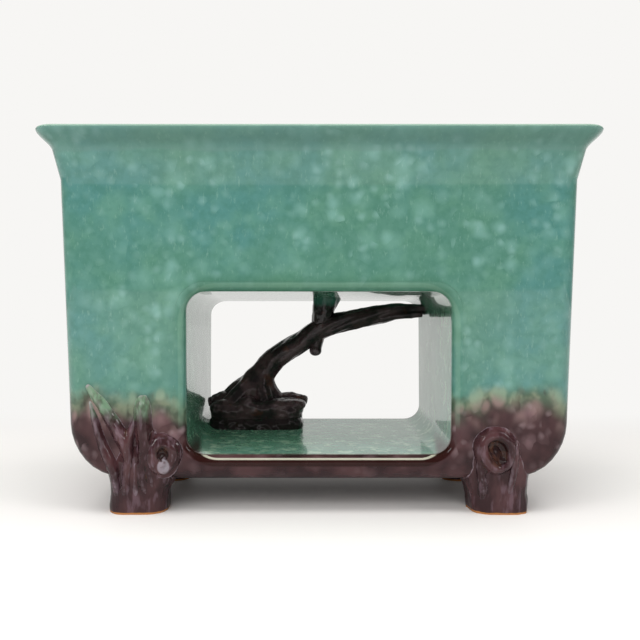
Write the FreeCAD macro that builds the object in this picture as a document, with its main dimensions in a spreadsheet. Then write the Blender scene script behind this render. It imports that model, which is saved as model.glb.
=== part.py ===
"""A glazed bonsai pot with a window through it and a ceramic branch in the window.

Frame: X runs along the pot, Y from its front face (-Y) to its back, Z up.
The origin is on the ground, under the middle of the pot. Millimetres.
Every piece is formed by itself and luted to its neighbours with slip.
"""

import FreeCAD
import Part
import Sketcher
import math
import os

# Driving sizes: alias, value, meaning.
SIZES = [
    ("pot_length", 346.0, "over the rim, along X"),
    ("pot_depth", 159.0, "over the rim, along Y"),
    ("pot_height", 238.0, "ground to rim"),
    ("flare_out", 11.8, "how far the rim stands out beyond the neck"),
    ("flare_height", 30.0, "height of the flared band under the rim"),
    ("lean_in", 6.0, "how far each wall leans in from neck to underside"),
    ("wall_thick", 6.0, "shell wall"),
    ("lip_thick", 3.6, "shell wall at the rim"),
    ("floor_thick", 7.0, "shell floor"),
    ("end_round", 35.0, "rounding of the lower corners in front view"),
    ("side_round", 10.0, "rounding of the long lower edges"),
    ("corner_round", 8.0, "rounding of the four upright edges"),
    ("inner_round", 4.0, "rounding of the four upright edges inside"),
    ("drain_bore", 14.0, "drain hole diameter"),
    ("drain_inset", 38.0, "drain hole centre in from the end of the underside"),
    ("window_length", 165.0, "window opening along X"),
    ("window_height", 103.6, "window opening at its front"),
    ("window_sill", 14.6, "window's lower edge above the underside"),
    ("window_round", 12.0, "window corner radius"),
    ("window_edge", 4.0, "rounding of the window's front and back edges"),
    ("tunnel_wall", 6.0, "wall of the liner between the two windows"),
    ("tunnel_rise", 8.6, "rise of the liner's floor, front to back"),
    ("tunnel_drop", 3.7, "fall of the liner's ceiling, front to back"),
    ("foot_height", 21.0, "underside above the ground"),
    ("foot_length", 38.0, "foot at the ground, along X"),
    ("foot_depth", 34.0, "foot at the ground, along Y"),
    ("foot_round", 12.0, "rounding of a foot's upright edges"),
    ("foot_inset", 21.8, "foot's outer edge in from the end of the underside"),
    ("foot_reach", 14.0, "how far a foot climbs the pot's lower corner"),
    ("twig_thick", 6.5, "applied twigs, diameter"),
    ("finger_thick", 10.0, "applied broken stub, diameter"),
    ("knot_length", 14.0, "applied round knot, along X"),
    ("knot_height", 22.0, "applied round knot, along Z"),
    ("knot_proud", 6.5, "how far the applied knots stand off the wall"),
    ("hollow_length", 20.0, "applied hollow knot, along X"),
    ("hollow_height", 26.0, "applied hollow knot, along Z"),
    ("hollow_rim", 3.2, "rim of the hollow knot"),
    ("branch_back", 32.0, "branch plane behind the pot's middle"),
    ("limb_thick", 19.0, "branch limb diameter at its root"),
    ("limb_tip", 8.4, "branch limb diameter at its tip"),
    ("knob_thick", 16.6, "upright knob of the branch, diameter"),
    ("stub_thick", 9.0, "broken stub under the branch, diameter"),
    ("rock_length", 73.0, "branch base along X"),
    ("rock_depth", 35.0, "branch base along Y"),
    ("rock_height", 20.0, "branch base above the liner's floor"),
    ("rock_round", 9.0, "rounding of the branch base's upright edges"),
]

PLANE_ROLES = {"XY": "XY_Plane", "XZ": "XZ_Plane"}
TRIM_SPARE = 5.0  # how far a tool runs past what it cuts
ON_FACE = 0.3  # an edge this near a wall's outer face lies on it
TOUCHING = 0.01  # an edge this near a surface belongs to it
BELLY_ANGLES = [0, 20, 40, 60, 75, 90]  # stations of the rounded underside, degrees
# Share of the flare's height, share of its outreach.
FLARE_STATIONS = [(0.0, 0.0), (0.3, 0.17), (0.55, 0.33), (0.7, 0.5), (0.8, 0.72), (0.92, 0.97), (1.0, 1.0)]

document = FreeCAD.newDocument("BonsaiPot")
sheet = document.addObject("Spreadsheet::Sheet", "Size")
for row, (alias, value, meaning) in enumerate(SIZES, start=1):
    sheet.set(f"A{row}", alias)
    sheet.set(f"B{row}", str(value))
    sheet.set(f"C{row}", meaning)
    sheet.setAlias(f"B{row}", alias)
document.recompute()


def size(expression):
    """The present value of an expression on the sheet's aliases."""
    value = sheet.evalExpression(expression)
    return float(getattr(value, "Value", value))


def add(kind, name, **properties):
    """Add an object and bind each named property to an expression."""
    item = document.addObject(kind, name)
    for label, expression in properties.items():
        item.setExpression(label, expression)
    return item


def place(item, along, across, up):
    """Bind an object's position to three expressions."""
    item.setExpression("Placement.Base.x", along)
    item.setExpression("Placement.Base.y", across)
    item.setExpression("Placement.Base.z", up)


# Lines that the pieces share, as expressions.
NECK_LENGTH = "(Size.pot_length - 2 * Size.flare_out)"
NECK_DEPTH = "(Size.pot_depth - 2 * Size.flare_out)"
NECK_HEIGHT = "(Size.pot_height - Size.flare_height)"
BASE_LENGTH = f"({NECK_LENGTH} - 2 * Size.lean_in)"
BASE_DEPTH = f"({NECK_DEPTH} - 2 * Size.lean_in)"
WALL_SLOPE = f"(Size.lean_in / ({NECK_HEIGHT} - Size.foot_height))"
SILL = "(Size.foot_height + Size.window_sill)"


def half_length(up):
    """Half the pot's outer length at a height, on the leaning walls."""
    return f"({BASE_LENGTH} / 2 + ({up} - Size.foot_height) * {WALL_SLOPE})"


def half_depth(up):
    """Half the pot's outer depth at a height, on the leaning walls."""
    return f"({BASE_DEPTH} / 2 + ({up} - Size.foot_height) * {WALL_SLOPE})"


# ---------------------------------------------------------------- sections

def rounded_section(body, name, plane, offset, wide, tall, middle, corner):
    """A rounded rectangle sketch, wide by tall, whose centre is at height middle of the sketch."""
    sketch = body.newObject("Sketcher::SketchObject", name)
    origin = [item for item in body.Origin.OriginFeatures if item.Role == PLANE_ROLES[plane]]
    sketch.AttachmentSupport = [(origin[0], "")]
    sketch.MapMode = "FlatFace"
    sketch.setExpression("AttachmentOffset.Base.z", offset)
    half_wide = size(wide) / 2
    half_tall = size(tall) / 2
    centre = size(middle)
    radius = size(corner)
    inner_wide = half_wide - radius
    low = centre - half_tall
    high = centre + half_tall
    corners = [(inner_wide, high - radius), (-inner_wide, high - radius),
               (-inner_wide, low + radius), (inner_wide, low + radius)]
    sides = [((inner_wide, high), (-inner_wide, high)),
             ((-half_wide, high - radius), (-half_wide, low + radius)),
             ((-inner_wide, low), (inner_wide, low)),
             ((half_wide, low + radius), (half_wide, high - radius))]
    normal = FreeCAD.Vector(0, 0, 1)
    for quarter in range(4):
        start, end = sides[quarter]
        sketch.addGeometry(Part.LineSegment(FreeCAD.Vector(*start, 0), FreeCAD.Vector(*end, 0)))
        turn = quarter * math.pi / 2
        circle = Part.Circle(FreeCAD.Vector(*corners[quarter], 0), normal, radius)
        sketch.addGeometry(Part.ArcOfCircle(circle, turn, turn + math.pi / 2))
    for quarter in range(4):
        line = 2 * quarter
        arc = line + 1
        following = (line + 3) % 8
        sketch.addConstraint(Sketcher.Constraint("Tangent", arc, 2, line, 1))
        sketch.addConstraint(Sketcher.Constraint("Tangent", line, 2, following, 1))
    for line in (0, 4):
        sketch.addConstraint(Sketcher.Constraint("Horizontal", line))
    for line in (2, 6):
        sketch.addConstraint(Sketcher.Constraint("Vertical", line))
    for arc in (3, 5, 7):
        sketch.addConstraint(Sketcher.Constraint("Equal", 1, arc))
    measures = [("corner", Sketcher.Constraint("Radius", 1, radius), corner),
                ("side", Sketcher.Constraint("DistanceX", -1, 1, 6, 1, half_wide), f"({wide}) / 2"),
                ("wide", Sketcher.Constraint("DistanceX", 2, 1, 6, 1, 2 * half_wide), wide),
                ("tall", Sketcher.Constraint("DistanceY", 4, 1, 0, 1, 2 * half_tall), tall),
                ("top", Sketcher.Constraint("DistanceY", -1, 1, 0, 1, high),
                 f"({middle}) + ({tall}) / 2")]
    for label, constraint, expression in measures:
        index = sketch.addConstraint(constraint)
        sketch.renameConstraint(index, label)
        sketch.setExpression(f"Constraints.{label}", expression)
    return sketch


def loft(body, name, sections, ruled):
    """Join sections into one more solid stretch of a body."""
    feature = body.newObject("PartDesign::AdditiveLoft", name)
    feature.Profile = sections[0]
    feature.Sections = sections[1:]
    feature.Ruled = ruled
    return feature


def pot_form(name, inset, rim_inset, bottom, end_round, side_round, corner):
    """The pot as a solid: rounded underside, leaning walls and flared rim, set in by a wall."""
    body = document.addObject("PartDesign::Body", name)
    belly = []
    for angle in BELLY_ANGLES:
        share_up = 1 - math.sin(math.radians(angle))
        share_in = 1 - math.cos(math.radians(angle))
        up = f"({bottom} + {end_round} * {share_up:.6f})"
        dip = f"max(0; {side_round} - ({up} - {bottom}))"
        tuck = f"({side_round} - sqrt({side_round} ^ 2 - {dip} ^ 2))"
        wide = f"2 * ({half_length(up)} - {inset} - {end_round} * {share_in:.6f})"
        tall = f"2 * ({half_depth(up)} - {inset} - {tuck})"
        belly.append(rounded_section(body, f"{name}_belly_{angle}", "XY", up, wide, tall, "0", corner))
    flare = []
    for index, (share_up, share_out) in enumerate(FLARE_STATIONS):
        up = f"({NECK_HEIGHT} + Size.flare_height * {share_up})"
        set_in = f"({inset} + ({rim_inset} - {inset}) * {share_out})"
        wide = f"({NECK_LENGTH} + 2 * Size.flare_out * {share_out} - 2 * {set_in})"
        tall = f"({NECK_DEPTH} + 2 * Size.flare_out * {share_out} - 2 * {set_in})"
        flare.append(rounded_section(body, f"{name}_flare_{index}", "XY", up, wide, tall, "0", corner))
    loft(body, f"{name}_belly", belly[::-1], False)
    loft(body, f"{name}_wall", [belly[0], flare[0]], True)
    loft(body, f"{name}_flare", flare, False)
    document.recompute()
    return body


def tunnel_form(name, grow):
    """The window's space as a solid from front to back, grown outwards by a wall."""
    body = document.addObject("PartDesign::Body", name)
    ends = []
    for label, side, rise, drop in (("front", 1, 0, 0), ("back", -1, 1, 1)):
        low = f"({SILL} + Size.tunnel_rise * {rise} - {grow})"
        high = f"({SILL} + Size.window_height - Size.tunnel_drop * {drop} + {grow})"
        wide = f"(Size.window_length + 2 * {grow})"
        offset = f"{side} * (Size.pot_depth / 2 + {TRIM_SPARE})"
        ends.append(rounded_section(body, f"{name}_{label}", "XZ", offset, wide, f"({high} - {low})",
                                    f"({high} + {low}) / 2", f"(Size.window_round + {grow})"))
    loft(body, f"{name}_span", ends, True)
    document.recompute()
    return body


# ---------------------------------------------------------------- booleans

def cut(name, base, *tools):
    """Cut tools from a base one after the other; the last result carries the name."""
    for index, tool in enumerate(tools, start=1):
        result = document.addObject("Part::Cut", f"{name}_cut_{index}")
        result.Base = base
        result.Tool = tool
        base = result
    return base


def common(name, base, tool):
    """Keep what two solids share."""
    result = document.addObject("Part::Common", f"{name}_kept")
    result.Base = base
    result.Tool = tool
    return result


def rounded_edges(name, base, radius, chosen):
    """Round the edges of a solid that a test chooses."""
    document.recompute()
    fillet = document.addObject("Part::Fillet", f"{name}_rounded")
    fillet.Base = base
    fillet.Edges = [(index, radius, radius) for index, edge in enumerate(base.Shape.Edges, start=1)
                    if chosen(edge)]
    return fillet


def stem(name, stations):
    """A smooth round stem through stations of (x, y, z, diameter), each square to the path in XZ."""
    rings = []
    for index, (along, across, up, thick) in enumerate(stations):
        before = stations[max(index - 1, 0)]
        after = stations[min(index + 1, len(stations) - 1)]
        ring = add("Part::Circle", f"{name}_ring_{index}", Radius=f"{thick} / 2")
        place(ring, along, across, up)
        for axis, share in (("x", "0"), ("y", "1"), ("z", "0")):
            ring.setExpression(f"Placement.Rotation.Axis.{axis}", share)
        ring.setExpression("Placement.Rotation.Angle",
                           f"atan2({after[0]} - ({before[0]}); {after[2]} - ({before[2]}))")
        rings.append(ring)
    result = document.addObject("Part::Loft", f"{name}_stem")
    result.Sections = rings
    result.Solid = True
    return result


pieces = []


def piece(name, item):
    """Keep an object as a sub-part of the pot under its own label."""
    item.Label = name
    pieces.append(item)
    return item


# ---------------------------------------------------------------- shell and window

outer_form = pot_form("outer_form", "0", "0", "Size.foot_height", "Size.end_round",
                      "Size.side_round", "Size.corner_round")
inner_form = pot_form("inner_form", "Size.wall_thick", "Size.lip_thick",
                      "(Size.foot_height + Size.floor_thick)",
                      "(Size.end_round - Size.wall_thick)", "(Size.side_round - Size.wall_thick)",
                      "Size.inner_round")
tunnel_outside = tunnel_form("tunnel_outside", "Size.tunnel_wall")
tunnel_inside = tunnel_form("tunnel_inside", "0")

drains = []
for side in (-1, 1):
    drain = add("Part::Cylinder", f"drain_{side + 1}", Radius="Size.drain_bore / 2",
                Height=f"Size.floor_thick + {2 * TRIM_SPARE}")
    place(drain, f"{side} * ({BASE_LENGTH} / 2 - Size.drain_inset)", "0",
          f"Size.foot_height - {TRIM_SPARE}")
    drains.append(drain)

piece("pot_shell", cut("pot_shell", outer_form, inner_form, tunnel_outside, *drains))

wall_form = document.addObject("PartDesign::Body", "wall_form")
wall_ends = [rounded_section(wall_form, f"wall_form_{label}", "XY", up, f"2 * {half_length(up)}",
                             f"2 * {half_depth(up)}", "0", "Size.corner_round")
             for label, up in (("low", "Size.foot_height"), ("high", NECK_HEIGHT))]
loft(wall_form, "wall_form_span", wall_ends, True)
liner = common("liner", cut("liner", tunnel_outside, tunnel_inside), wall_form)
document.recompute()


def on_window_edge(edge):
    """True for the edges where the window's inside meets the pot's front or back face."""
    middle = edge.valueAt((edge.FirstParameter + edge.LastParameter) / 2)
    on_face = abs(abs(middle.y) - size(half_depth(f"{middle.z}"))) < ON_FACE
    return on_face and Part.Vertex(middle).distToShape(tunnel_inside.Shape)[0] < TOUCHING


piece("window_tunnel", rounded_edges("liner", liner, size("Size.window_edge"), on_window_edge))


# ---------------------------------------------------------------- feet and applied relief

FOOT_X = f"({BASE_LENGTH} / 2 - Size.foot_inset - Size.foot_length / 2)"
FOOT_Y = f"({BASE_DEPTH} / 2 - Size.foot_depth / 2)"
# Share of the climb, growth along X, growth along Y: a waisted stump.
FOOT_STATIONS = [(0.0, 1.0, 1.0), (0.3, 0.93, 0.94), (0.65, 0.99, 1.0), (1.0, 1.18, 1.08)]


def foot(name, side_x, side_y):
    """A stump foot whose top is cut to the rounded underside that it is luted to."""
    stump = document.addObject("PartDesign::Body", f"{name}_stump")
    rings = []
    for index, (share_up, grow_x, grow_y) in enumerate(FOOT_STATIONS):
        rings.append(rounded_section(stump, f"{name}_ring_{index}", "XY",
                                     f"(Size.foot_height + Size.foot_reach) * {share_up}",
                                     f"Size.foot_length * {grow_x}", f"Size.foot_depth * {grow_y}",
                                     "0", "Size.foot_round"))
    loft(stump, f"{name}_span", rings, False)
    place(stump, f"{side_x} * {FOOT_X}", f"{side_y} * {FOOT_Y}", "0")
    return piece(name, cut(name, stump, outer_form))


def on_wall(turn, along, up, thick, proud):
    """A station on the long wall, proud of it; turn is 1 for the front, -1 for the back.

    It lies along outwards from the near foot's middle and up from the underside.
    """
    height = f"(Size.foot_height + {up})"
    return (f"{turn} * ({FOOT_X} + {along}) * -1", f"{-turn} * ({half_depth(height)} + {proud})",
            height, thick)


def on_other_end(turn, along, up, thick, proud):
    """A station on the long wall near the other foot."""
    height = f"(Size.foot_height + {up})"
    return (f"{turn} * ({FOOT_X} + {along})", f"{-turn} * ({half_depth(height)} + {proud})",
            height, thick)


def boss(name, station, radius_x, radius_y, radius_z):
    """An egg-shaped lump on the wall."""
    lump = add("Part::Ellipsoid", f"{name}_lump", Radius1=radius_z, Radius2=radius_x, Radius3=radius_y)
    place(lump, *station[:3])
    return lump


def relief(face, turn, near_foot, far_foot):
    """The roots and knots applied to one long face, above its two feet.

    Each is cut to the wall, and to the foot where it reaches down to it.
    """
    thick = "Size.twig_thick"
    outer_twig = stem(f"outer_twig_{face}", [
        on_wall(turn, 27.0, 50, f"{thick} * 0.45", 0.2),
        on_wall(turn, 24.5, 38, f"{thick} * 0.7", 0.5),
        on_wall(turn, 21.0, 25, f"{thick} * 0.85", 0.8),
        on_wall(turn, 15.5, 12, f"{thick} * 0.95", 1.2)])
    piece(f"outer_twig_{face}", cut(f"outer_twig_{face}", outer_twig, wall_form, near_foot))
    inner_twig = stem(f"inner_twig_{face}", [
        on_wall(turn, 26.5, 58, f"{thick} * 0.8", 0.8),
        on_wall(turn, 19.0, 47, f"{thick} * 1.1", 1.4),
        on_wall(turn, 11.0, 34, f"{thick} * 1.35", 2.0),
        on_wall(turn, 2.0, 20, f"{thick} * 1.5", 2.5)])
    piece(f"inner_twig_{face}", cut(f"inner_twig_{face}", inner_twig, wall_form))
    finger = stem(f"finger_stub_{face}", [
        on_wall(turn, -5.0, 50, "Size.finger_thick * 0.7", 1.2),
        on_wall(turn, -5.5, 40, "Size.finger_thick * 0.9", 1.8),
        on_wall(turn, -6.5, 28, "Size.finger_thick", 2.4),
        on_wall(turn, -8.0, 17, "Size.finger_thick * 1.1", 3.0)])
    piece(f"finger_stub_{face}", cut(f"finger_stub_{face}", finger, wall_form))
    beside_finger = "-(8.5 + Size.finger_thick * 0.55 + Size.knot_length / 2)"
    knot = boss(f"round_knot_{face}", on_wall(turn, beside_finger, 15, "", 0), "Size.knot_length / 2",
                "Size.knot_proud", "Size.knot_height / 2")
    piece(f"round_knot_{face}", cut(f"round_knot_{face}", knot, wall_form, near_foot))
    ring = boss(f"hollow_knot_{face}", on_other_end(turn, -4.5, 19, "", 0), "Size.hollow_length / 2",
                "Size.knot_proud", "Size.hollow_height / 2")
    bowl = boss(f"hollow_bowl_{face}", on_other_end(turn, -4.5, 19, "", 5.0),
                "Size.hollow_length / 2 - Size.hollow_rim", "Size.knot_proud * 0.75",
                "Size.hollow_height / 2 - Size.hollow_rim")
    piece(f"hollow_knot_{face}", cut(f"hollow_knot_{face}", ring, wall_form, bowl, far_foot))
    beside_knot = f"(-4.0 + Size.hollow_length / 2 + {thick} / 2)"
    ridge = stem(f"bark_ridge_{face}", [
        on_other_end(turn, f"{beside_knot} + 4", 42, f"{thick} * 0.5", 0.4),
        on_other_end(turn, f"{beside_knot} + 1", 30, f"{thick} * 0.8", 0.8),
        on_other_end(turn, beside_knot, 16, thick, 1.2)])
    piece(f"bark_ridge_{face}", cut(f"bark_ridge_{face}", ridge, wall_form, far_foot))


front_left_foot = foot("foot_front_left", -1, -1)
front_right_foot = foot("foot_front_right", 1, -1)
back_left_foot = foot("foot_back_left", -1, 1)
back_right_foot = foot("foot_back_right", 1, 1)
relief("front", 1, front_left_foot, front_right_foot)
relief("back", -1, back_right_foot, back_left_foot)


# ---------------------------------------------------------------- branch in the window

BRANCH_Y = "Size.branch_back"
LIMB_TAPER = "(Size.limb_thick - Size.limb_tip)"


def in_window(share_along, share_up, thick):
    """A station of the branch, placed by shares of the window's length and height."""
    return (f"Size.window_length * {share_along}", BRANCH_Y,
            f"({SILL} + Size.window_height * {share_up})", thick)


ROCK_FLOOR = f"({SILL} + Size.tunnel_rise * 0.75)"
# Share of the height, growth along X, growth along Y: a slab that narrows to the root.
ROCK_STATIONS = [(-0.4, 0.98, 0.98), (0.35, 1.0, 1.0), (0.75, 0.94, 0.9), (1.0, 0.78, 0.72)]
rock_body = document.addObject("PartDesign::Body", "rock")
rock_rings = [rounded_section(rock_body, f"rock_ring_{index}", "XY",
                              f"{ROCK_FLOOR} + Size.rock_height * {share_up}",
                              f"Size.rock_length * {grow_x}", f"Size.rock_depth * {grow_y}",
                              "0", "Size.rock_round")
              for index, (share_up, grow_x, grow_y) in enumerate(ROCK_STATIONS)]
loft(rock_body, "rock_span", rock_rings, False)
place(rock_body, "-(Size.window_length / 2 - Size.rock_length / 2 - 1)", BRANCH_Y, "0")
rock = piece("branch_base", common("branch_base", rock_body, tunnel_inside))

LIMB_STATIONS = [(-0.425, 0.17, 0.0), (-0.385, 0.28, 0.05), (-0.332, 0.375, 0.1), (-0.264, 0.474, 0.15),
                 (-0.199, 0.554, 0.2), (-0.117, 0.613, 0.2), (-0.048, 0.678, 0.22), (0.03, 0.762, 0.25),
                 (0.135, 0.816, 0.35), (0.25, 0.853, 0.5), (0.364, 0.890, 0.75), (0.465, 0.905, 1.0),
                 (0.56, 0.91, 1.0)]
limb = stem("branch_limb", [in_window(share_along, share_up, f"(Size.limb_thick - {LIMB_TAPER} * {taper})")
                            for share_along, share_up, taper in LIMB_STATIONS])
limb = common("branch_limb", limb, tunnel_inside)
limb = piece("branch_limb", cut("branch_limb", limb, rock))

knob = stem("branch_knob", [in_window(0.028, 0.76, "Size.knob_thick * 0.95"),
                            in_window(0.031, 0.84, "Size.knob_thick"),
                            in_window(0.032, 0.92, "Size.knob_thick * 1.02"),
                            in_window(0.033, 1.02, "Size.knob_thick * 1.25")])
knob = common("branch_knob", knob, tunnel_inside)
piece("branch_knob", cut("branch_knob", knob, limb))

stub = stem("branch_stub", [in_window(0.028, 0.73, "Size.stub_thick * 1.15"),
                            in_window(0.014, 0.66, "Size.stub_thick"),
                            in_window(-0.002, 0.595, "Size.stub_thick * 0.8")])
piece("branch_stub", cut("branch_stub", stub, limb))


# ---------------------------------------------------------------- check and write

document.recompute()
for item in document.Objects:
    if "Invalid" in item.State or "Error" in item.State:
        raise RuntimeError(f"{item.Name} failed: {item.State}")
for item in pieces:
    if item.Shape.isNull() or not item.Shape.isValid():
        raise RuntimeError(f"{item.Label} has no valid shape")

os.makedirs("parts", exist_ok=True)
for item in pieces:
    item.Shape.exportStep(f"parts/{item.Label}.step")
    box = item.Shape.BoundBox
    print(f"{item.Label}: {len(item.Shape.Solids)} solid, {item.Shape.Volume / 1000:.2f} cm3, "
          f"x {box.XMin:.1f} {box.XMax:.1f}, y {box.YMin:.1f} {box.YMax:.1f}, "
          f"z {box.ZMin:.1f} {box.ZMax:.1f}")
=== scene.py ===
"""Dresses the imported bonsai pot: its glaze, gnarled feet, applied roots and the branch in its window.

Everything is in metres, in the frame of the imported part: X along the pot, -Y its front, Z up.
"""

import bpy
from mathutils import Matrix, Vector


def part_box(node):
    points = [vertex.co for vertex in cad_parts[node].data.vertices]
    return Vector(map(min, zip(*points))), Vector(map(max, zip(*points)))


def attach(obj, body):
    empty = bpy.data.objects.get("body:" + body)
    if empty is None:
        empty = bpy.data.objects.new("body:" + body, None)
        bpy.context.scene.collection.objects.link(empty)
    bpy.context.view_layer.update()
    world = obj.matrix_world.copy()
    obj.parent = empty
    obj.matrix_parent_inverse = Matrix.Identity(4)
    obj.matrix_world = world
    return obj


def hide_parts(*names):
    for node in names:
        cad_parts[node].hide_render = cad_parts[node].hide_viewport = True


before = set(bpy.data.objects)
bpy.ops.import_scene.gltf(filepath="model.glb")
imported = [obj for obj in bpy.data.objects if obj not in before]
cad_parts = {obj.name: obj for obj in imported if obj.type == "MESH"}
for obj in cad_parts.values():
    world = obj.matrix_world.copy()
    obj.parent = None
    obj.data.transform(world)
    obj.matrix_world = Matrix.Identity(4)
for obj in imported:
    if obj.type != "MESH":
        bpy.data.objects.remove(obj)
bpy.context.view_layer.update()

import logging
import math
import random
from dataclasses import dataclass, field
from enum import Enum
from functools import partial
from typing import Callable, Sequence

import bmesh
import bpy
from mathutils import Vector

LOG = logging.getLogger("bonsai_pot")
MM = 0.001
CORNER_SEGMENTS = 6
STRAND_ORDER = 3
Point = tuple[float, float, float]
Colour = tuple[float, float, float, float]
Test = Callable[[Vector], bool]
# Blotches of one size: cell width, share of the cells filled, strength and colour.
Blotches = tuple[float, float, float, Colour]
# A place on a root and its radius, in millimetres: along, up, and out from the wall or back in the window.
Station = tuple[float, float, float, float]


# ------------------------------------------------------------------ bench tools

class Element(Enum):
    """What an edit-mode selection picks."""

    EDGES = "EDGE"
    FACES = "FACE"


class Cut(Enum):
    """What a closed tool takes from a piece: what is in the tool, or what is outside it."""

    WITHIN = "DIFFERENCE"
    OUTSIDE = "INTERSECT"


class Face(Enum):
    """A long face of the pot. The back is the front turned half round."""

    FRONT = 1
    BACK = -1


class Bench:
    """Hand tools: selecting, editing, joining and finishing one piece at a time."""

    @staticmethod
    def clear() -> None:
        """Deselect everything, CAD nodes included."""
        if bpy.context.mode != "OBJECT":
            bpy.ops.object.mode_set(mode="OBJECT")
        bpy.ops.object.select_all(action="DESELECT")

    @staticmethod
    def hold(piece: bpy.types.Object) -> None:
        """Make one piece the only selected and active object.

        Args:
            piece: The piece.
        """
        Bench.clear()
        piece.select_set(True)
        bpy.context.view_layer.objects.active = piece

    @staticmethod
    def edit(piece: bpy.types.Object) -> None:
        """Open a piece in edit mode."""
        Bench.hold(piece)
        bpy.ops.object.mode_set(mode="EDIT")

    @staticmethod
    def close() -> None:
        """Leave edit mode."""
        bpy.ops.object.mode_set(mode="OBJECT")

    @staticmethod
    def pick(kind: Element, test: Test) -> None:
        """Select the parts of the edited mesh whose middle passes a test.

        Args:
            kind: Edges or faces.
            test: Says whether a middle point is wanted.
        """
        bpy.ops.mesh.select_mode(type=kind.value)
        bpy.ops.mesh.select_all(action="DESELECT")
        data = bpy.context.edit_object.data
        mesh = bmesh.from_edit_mesh(data)
        for item in mesh.edges if kind is Element.EDGES else mesh.faces:
            middle = sum((corner.co for corner in item.verts), Vector()) / len(item.verts)
            if test(middle):
                item.select = True
        mesh.select_flush_mode()
        bmesh.update_edit_mesh(data)

    @staticmethod
    def modify(piece: bpy.types.Object, kind: str, **settings: object) -> None:
        """Add one modifier, set it up and apply it.

        Args:
            piece: The piece that it changes.
            kind: The modifier's type.
            settings: The modifier's own settings, by name.
        """
        Bench.hold(piece)
        modifier = piece.modifiers.new(kind.lower(), kind)
        for name, value in settings.items():
            setattr(modifier, name, value)
        bpy.ops.object.modifier_apply(modifier=modifier.name)

    @staticmethod
    def join(name: str, parts: Sequence[bpy.types.Object]) -> bpy.types.Object:
        """Join several meshes into one named piece.

        Args:
            name: The piece's name.
            parts: The meshes; the first takes in the others.

        Returns:
            The piece.
        """
        Bench.clear()
        for part in parts:
            part.select_set(True)
        bpy.context.view_layer.objects.active = parts[0]
        if len(parts) > 1:
            bpy.ops.object.join()
        parts[0].name = name
        parts[0].data.name = name
        return parts[0]

    @staticmethod
    def settle(piece: bpy.types.Object, smooth_angle: float) -> None:
        """Put a piece's place into its mesh, at the origin, and shade it.

        Args:
            piece: The piece.
            smooth_angle: Edges that turn by more than this stay sharp, in degrees.
        """
        Bench.hold(piece)
        bpy.ops.object.transform_apply(location=True, rotation=True, scale=True)
        bpy.ops.object.shade_smooth_by_angle(angle=math.radians(smooth_angle))

    @staticmethod
    def outward(piece: bpy.types.Object) -> None:
        """Merge doubles and turn all faces outwards.

        Args:
            piece: A closed mesh.
        """
        Bench.edit(piece)
        bpy.ops.mesh.select_all(action="SELECT")
        bpy.ops.mesh.remove_doubles(threshold=0.00001)
        bpy.ops.mesh.normals_make_consistent(inside=False)
        Bench.close()

    @staticmethod
    def drop(piece: bpy.types.Object) -> None:
        """Remove a tool that has been used."""
        bpy.data.objects.remove(piece, do_unlink=True)

    @staticmethod
    def carve(piece: bpy.types.Object, tool: bpy.types.Object, cut: Cut = Cut.WITHIN) -> None:
        """Cut a piece with a closed tool."""
        Bench.modify(piece, "BOOLEAN", object=tool, operation=cut.value, solver="EXACT")


@dataclass(frozen=True)
class Ring:
    """A rounded rectangle at a height: half sizes, and how far its middle is shifted."""

    up: float
    half_x: float
    half_y: float
    shift: tuple[float, float] = (0.0, 0.0)


def add_rounded_plate(name: str, half_x: float, half_y: float, corner: float,
                      segments: int) -> bpy.types.Object:
    """Add a flat plate in XY with rounded corners, one face, centred on the origin.

    Args:
        name: The plate's name.
        half_x: Half its length.
        half_y: Half its depth.
        corner: Radius of its corners.
        segments: How many edges each corner has.

    Returns:
        The plate.
    """
    Bench.clear()
    bpy.ops.mesh.primitive_plane_add(size=2.0)
    plate = bpy.context.object
    plate.name = name
    Bench.edit(plate)
    bpy.ops.transform.resize(value=(half_x, half_y, 1.0), center_override=(0, 0, 0))
    bpy.ops.mesh.bevel(offset=corner, segments=segments, affect="VERTICES", offset_type="OFFSET")
    Bench.close()
    return plate


def stack(name: str, corner: float, rings: Sequence[Ring]) -> bpy.types.Object:
    """Extrude a rounded plate through rings to a closed solid.

    Args:
        name: The solid's name.
        corner: Rounding of its upright edges at the first ring.
        rings: The rings, from the first plate on.

    Returns:
        The solid, with its faces outwards.
    """
    ring = rings[0]
    piece = add_rounded_plate(name, ring.half_x, ring.half_y, corner, CORNER_SEGMENTS)
    Bench.edit(piece)
    bpy.ops.mesh.select_all(action="SELECT")
    bpy.ops.transform.translate(value=(*ring.shift, ring.up))
    for following in rings[1:]:
        aside = (following.shift[0] - ring.shift[0], following.shift[1] - ring.shift[1])
        move = (*aside, following.up - ring.up)
        bpy.ops.mesh.extrude_region_move(TRANSFORM_OT_translate={"value": move})
        bpy.ops.transform.resize(value=(following.half_x / ring.half_x, following.half_y / ring.half_y, 1.0),
                                 center_override=(*following.shift, following.up))
        ring = following
    Bench.close()
    Bench.outward(piece)
    return piece


def mark(piece: bpy.types.Object, name: str, test: Test) -> None:
    """Store 1 on the points of a piece that pass a test and 0 on the others.

    Args:
        piece: The piece.
        name: The attribute that holds the marks.
        test: Says whether a point is marked.
    """
    marks = piece.data.attributes.new(name, "FLOAT", "POINT")
    for point, value in zip(piece.data.vertices, marks.data):
        value.value = 1.0 if test(point.co) else 0.0


# ------------------------------------------------------------------ gnarled forms

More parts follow.
